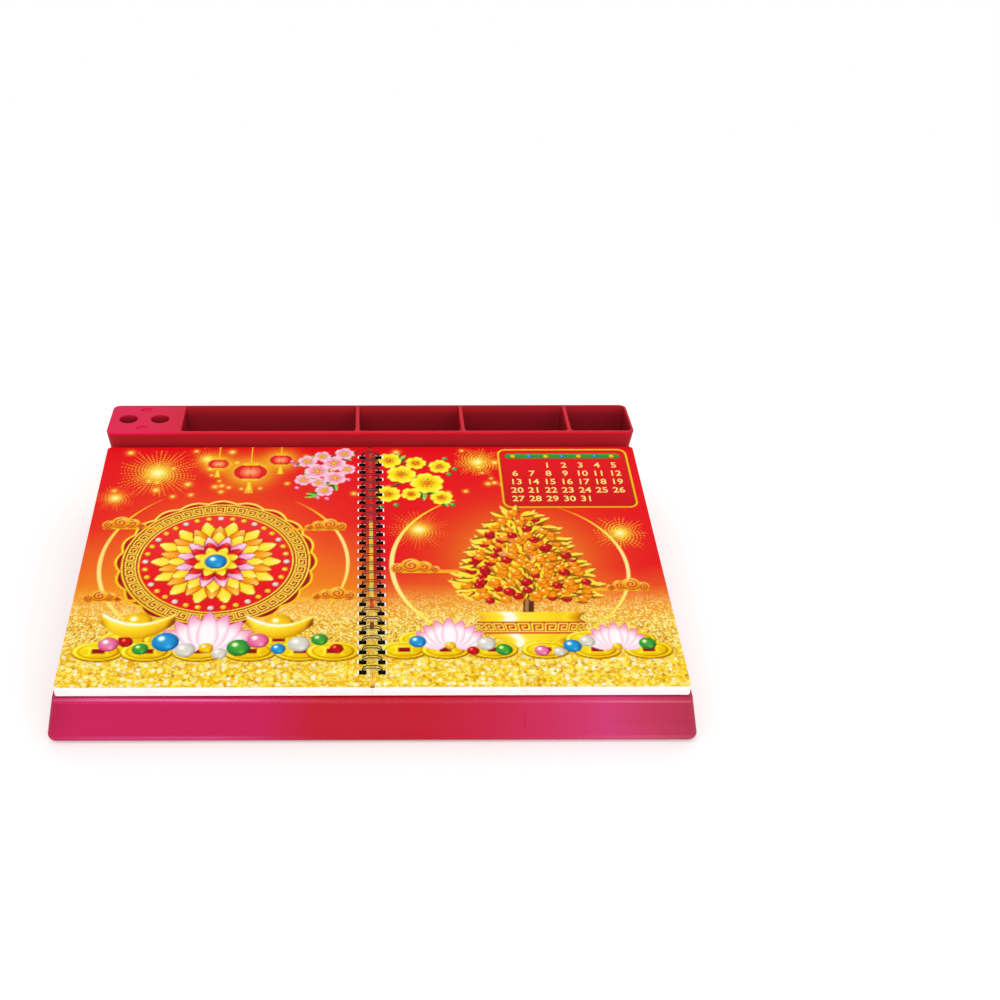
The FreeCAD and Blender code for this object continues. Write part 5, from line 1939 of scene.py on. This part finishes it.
@dataclass
class BindingWire:
    """One black wire bent to a row of double loops, as a round bar carried along a path with rounded corners.

    Every corner of the path is square.  With the heading a before a corner and b after it, the arc's points
    are its middle + radius * (a sin t - b cos t), and its heading a cos t + b sin t.
    """

    deck: Deck
    radius: float = 0.31
    sides: int = 10
    arc_steps: int = 7
    leg: float = 5.7
    rise: float = 4.0
    drop: float = 7.355
    top_radius: float = 3.4
    foot_radius: float = 1.6
    backbone: float = 0.8
    bend: float = 0.8
    half_twin: float = 1.0
    tip: float = -0.6

    def loop(self) -> tuple[Floats, Floats]:
        """Corners of one double loop from the binding's axis, and the bend radius at each."""
        leg, low, high, twin = self.leg, -self.drop, self.rise, self.half_twin
        there = np.array([
            (self.backbone, -twin, low, self.bend),
            (leg, -twin, low, self.foot_radius),
            (leg, -twin, high, self.top_radius),
            (-leg, -twin, high, self.top_radius),
            (-leg, -twin, low, self.foot_radius),
            (self.tip, -twin, low, twin),
        ])
        table = np.concatenate([there, there[::-1] * (1, -1, 1, 1)])
        return table[:, :3], table[:, 3]

    def path(self) -> tuple[Floats, Floats]:
        """Points and headings along the whole wire."""
        corners, radii = self.loop()
        shifts = np.zeros((LOOPS, 1, 3))
        shifts[:, 0, 1] = FIRST_LOOP + np.arange(LOOPS) * LOOP_PITCH
        all_corners = (corners[None] + shifts).reshape(-1, 3)
        all_radii = np.tile(radii, LOOPS)[:, None, None]
        reach = self.half_twin + self.bend
        start = all_corners[:1] * (1, 0, 1) + (0, FIRST_LOOP - reach, 0)
        end = all_corners[-1:] * (1, 0, 1) + (0, FIRST_LOOP + (LOOPS - 1) * LOOP_PITCH + reach, 0)
        heading = np.diff(np.concatenate([start, all_corners, end]), axis=0)
        heading /= np.linalg.norm(heading, axis=1, keepdims=True)
        before, after = heading[:-1, None], heading[1:, None]
        turn = np.linspace(0, math.pi / 2, self.arc_steps)[None, :, None]
        middle = all_corners[:, None] - before * all_radii + after * all_radii
        points = middle + all_radii * (before * np.sin(turn) - after * np.cos(turn))
        headings = before * np.cos(turn) + after * np.sin(turn)
        points = np.concatenate([start, points.reshape(-1, 3), end])
        headings = np.concatenate([heading[:1], headings.reshape(-1, 3), heading[-1:]])
        apart = np.linalg.norm(np.diff(points, axis=0), axis=1) > 1e-6
        kept = np.concatenate([[True], apart])
        return points[kept], headings[kept]

    def build(self, material: Material) -> Piece:
        """The wire as one closed tube, whose rings' axes come from crossing the heading with a slanted line.

        Args:
            material: of the coat.

        Returns:
            The finished piece.
        """
        points, headings = self.path()
        slanted = np.array([0, 1, 1]) / math.sqrt(2)
        first = np.cross(headings, slanted)
        first /= np.linalg.norm(first, axis=1, keepdims=True)
        second = np.cross(headings, first)
        turn = (np.arange(self.sides) * TURN / self.sides)[None, :, None]
        ring = first[:, None] * np.cos(turn) + second[:, None] * np.sin(turn)
        places = points[:, None] + ring * self.radius
        shell = Shell(self.deck.world(places.reshape(-1, 3)))
        number = np.arange(len(points) * self.sides).reshape(-1, self.sides)
        ahead = np.roll(number, -1, axis=1)
        shell.add(np.stack([number[:-1], ahead[:-1], ahead[1:], number[1:]], axis=-1).reshape(-1, 4))
        shell.add(number[:1, ::-1])
        shell.add(number[-1:])
        piece = shell.build("binding_wire_loops", [material], smooth=True)
        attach(piece, "stand")
        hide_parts("binding_wire")
        return piece


@dataclass
class Calendar:
    """The wire-bound calendar: covers, printed numbers and wire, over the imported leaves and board."""

    page: WeekPage
    materials: dict[str, Material]
    first_day: int = 10
    month_days: int = 31
    week: int = 7

    def build(self) -> None:
        """Make every new piece of the calendar."""
        deck, front, inside = self.page.deck, self.materials["cover_front"], self.materials["cover_inside"]
        pieces = [Cover(side, deck).build(front, inside) for side in Side]
        pieces.append(BindingWire(deck).build(self.materials["black_wire"]))
        pieces += [self.month_table(), self.day_numbers()]
        for piece in pieces:
            log.info("%s: %d faces", piece.name, len(piece.data.polygons))

    def month_table(self) -> Piece:
        """Month of plain numbers in gold, inside the frame on the right cover."""
        deck = self.page.deck
        low, high = deck.extent("right_cover")
        middle = (low + high)[:2] / 2 + CoverArt.table_middle
        numerals = Numerals(deck)
        for day in range(1, self.month_days + 1):
            row, column = divmod(day + 1, self.week)
            across, along = middle + np.array((column - 3, 1.5 - row)) * CoverArt.table_pitch
            numerals.write(day, across, along, high[2] + 0.004, 6)
        piece = numerals.build("month_numbers", self.materials["number_gold"])
        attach(piece, "cover_right")
        return piece

    def day_numbers(self) -> Piece:
        """Day numbers on the two printed leaves, one under each red tag."""
        page = self.page
        numerals = Numerals(page.deck)
        day = self.first_day
        middle = page.ground.width - page.margin - page.tag_width / 2
        for side in Side:
            _, high = page.deck.extent(f"{side.word}_title_leaf")
            for row in range(page.days):
                along = page.ground.length - page.head - row * page.day - 14.5
                numerals.write(day, side.value * middle, along, high[2] + 0.002, 11)
                day += 1
        piece = numerals.build("day_numbers", self.materials["number_red"])
        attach(piece, "stand")
        return piece


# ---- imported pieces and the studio


def finishes(page: WeekPage) -> dict[str, Material]:
    """Every finish as a material.

    Args:
        page: finish of the printed leaves, whose ground the covers share.

    Returns:
        The materials by the names of their slots, or of the finishes that only new pieces have.
    """
    deck, ground = page.deck, page.ground
    rows = (
        Plastic("stand_plastic", colour=0xB40E20, drift=0xC01838),
        TrayPlastic("tray_plastic", colour=0xAE2029, drift=0xB61E2C, shine=0.04),
        ZonedPlastic("front_plastic", drift=0xC02048, rough=0.22, shine=0.16),
        Plastic("drawer_plastic", colour=0xA81020, drift=0xB01830, rough=0.36, shine=0.2),
        GrainedPlastic("plate_plastic", 0xA01222, 0x7A0C18),
        GrainedPlastic("runner_plastic", 0xE8E4DA, 0xC8C2B4, grain=0.5, depth=0.00004),
        Steel("screw_steel"),
        Rubber("foot_rubber"),
        Foam("tape_foam"),
        Board("white_board"),
        Paper("page_paper", deck),
        CoverFront("cover_front", deck, ground),
        CoverInside("cover_inside", deck, ground.length, ground.width),
        CoatedWire("black_wire"),
        PrintInk("number_gold", 0xFFE27A, 0xF0B030),
        PrintInk("number_red", 0xB81420, 0xD84A50),
    )
    return {"title_paper": page.material()} | {row.name: row.material() for row in rows}


def dress(materials: dict[str, Material]) -> None:
    """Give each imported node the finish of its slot; the covers' card has none, as new pieces stand for it.

    Args:
        materials: by the names of their slots.
    """
    for row in frame["record"]["subparts"]:
        slot = row["material_slot"]
        if slot not in materials:
            continue
        for holder in frame["nodes"][row["node"]].material_slots:
            holder.material = materials[slot]
        log.info("%s: %s", row["node"], slot)


@dataclass(frozen=True)
class Studio:
    """White room: soft suns and sky, a floor that keeps the shadow, and the camera."""

    lens: float = 55.15
    pitch: float = 29.33
    yaw: float = 0.213
    place: tuple[float, float, float] = (-0.0056, -0.8397, 0.5514)
    shift: float = 0.13284
    sky: float = 0.5
    floor_reach: float = 1.2
    floor_grey: float = 0.86
    floor_glow: float = 0.26
    fade: Pair = (0.55, 1.1)

    def camera(self) -> None:
        """Camera in front of the stand, which looks down on it."""
        data = bpy.data.cameras.new("camera")
        data.lens = self.lens
        data.shift_x = self.shift
        data.clip_start, data.clip_end = 0.05, 20
        holder = put("camera", data)
        holder.location = self.place
        holder.rotation_euler = (math.radians(90 - self.pitch), 0, math.radians(-self.yaw))
        bpy.context.scene.camera = holder

    def lights(self) -> None:
        """Main light from the upper left, a small one beside it, a low one in front and one from behind."""
        # Name, strength, and in degrees: tilt from straight above, turn from the front to the right, spread
        suns = (
            ("key", 0.5, 34, -30, 40),
            ("glint", 0.3, 26, -24, 6),
            ("front", 1.32, 66, 14, 60),
            ("back", 0.3, 50, 165, 60),
        )
        for name, strength, tilt, turn, spread in suns:
            data = bpy.data.lights.new(name, "SUN")
            data.energy = strength
            data.angle = math.radians(spread)
            put(name, data).rotation_euler = (math.radians(tilt), 0, math.radians(turn))

    def seen(self, graph: Graph) -> Socket:
        """1 for camera, glossy and transmission rays, 0 for the rest.

        Args:
            graph: of the world or a material.

        Returns:
            The number.
        """
        rays = graph.node("ShaderNodeLightPath").outputs
        seen = graph.math("MAXIMUM", rays["Is Camera Ray"], rays["Is Glossy Ray"])
        return graph.math("MAXIMUM", seen, rays["Is Transmission Ray"])

    def world(self) -> None:
        """Even sky that looks white and lights at a plain level."""
        world = bpy.data.worlds.new("room")
        bpy.context.scene.world = world
        graph = Graph(world)
        strength = graph.scaled(self.seen(graph), 1 - self.sky, self.sky)
        sky = graph.node("ShaderNodeBackground", {"Color": (1, 1, 1, 1), "Strength": strength})
        graph.node("ShaderNodeOutputWorld", {"Surface": sky.outputs[0]})

    def floor(self) -> None:
        """Pale floor that fades into the white room, with its own glow so that only shadows stay darker."""
        graph = Graph(bpy.data.materials.new("floor"))
        glow = graph.times(self.seen(graph), self.floor_glow)
        bare = graph.node("ShaderNodeBsdfDiffuse", {"Color": (self.floor_grey,) * 3 + (1,)})
        lamp = graph.node("ShaderNodeEmission", {"Strength": glow})
        lit = graph.node("ShaderNodeAddShader", {0: bare.outputs[0], 1: lamp.outputs[0]})
        clear = graph.node("ShaderNodeBsdfTransparent")
        x, y, _ = graph.split(graph.place(1))
        distance = graph.math("SQRT", graph.math("ADD", graph.times(x, x), graph.times(y, y)))
        faded = {0: graph.climb(distance, *self.fade), 1: lit.outputs[0], 2: clear.outputs[0]}
        blend = graph.node("ShaderNodeMixShader", faded)
        graph.node("ShaderNodeOutputMaterial", {"Surface": blend.outputs[0]})
        shell = Shell(np.array([(-1, -1, 0), (1, -1, 0), (1, 1, 0), (-1, 1, 0)]) * self.floor_reach)
        shell.add(np.array([[0, 1, 2, 3]]))
        shell.build("floor", [graph.owner])

    def build(self) -> None:
        """Everything that isn't the object."""
        self.camera()
        self.lights()
        self.world()
        self.floor()


def write_sizes() -> None:
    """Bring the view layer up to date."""
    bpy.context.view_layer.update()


def main() -> None:
    """Build the scene, piece by piece."""
    logging.basicConfig(level=logging.INFO, format="%(name)s %(message)s")
    bpy.context.scene.view_settings.view_transform = "Standard"
    deck = Deck.of(frame["joints"])
    low, high = deck.extent("right_cover")
    page = WeekPage("week_page", deck, Festive(deck, float(high[1] - low[1]), float(high[0])))
    materials = finishes(page)
    dress(materials)
    Calendar(page, materials).build()
    Studio().build()
    write_sizes()


if __name__ == "__main__":
    main()
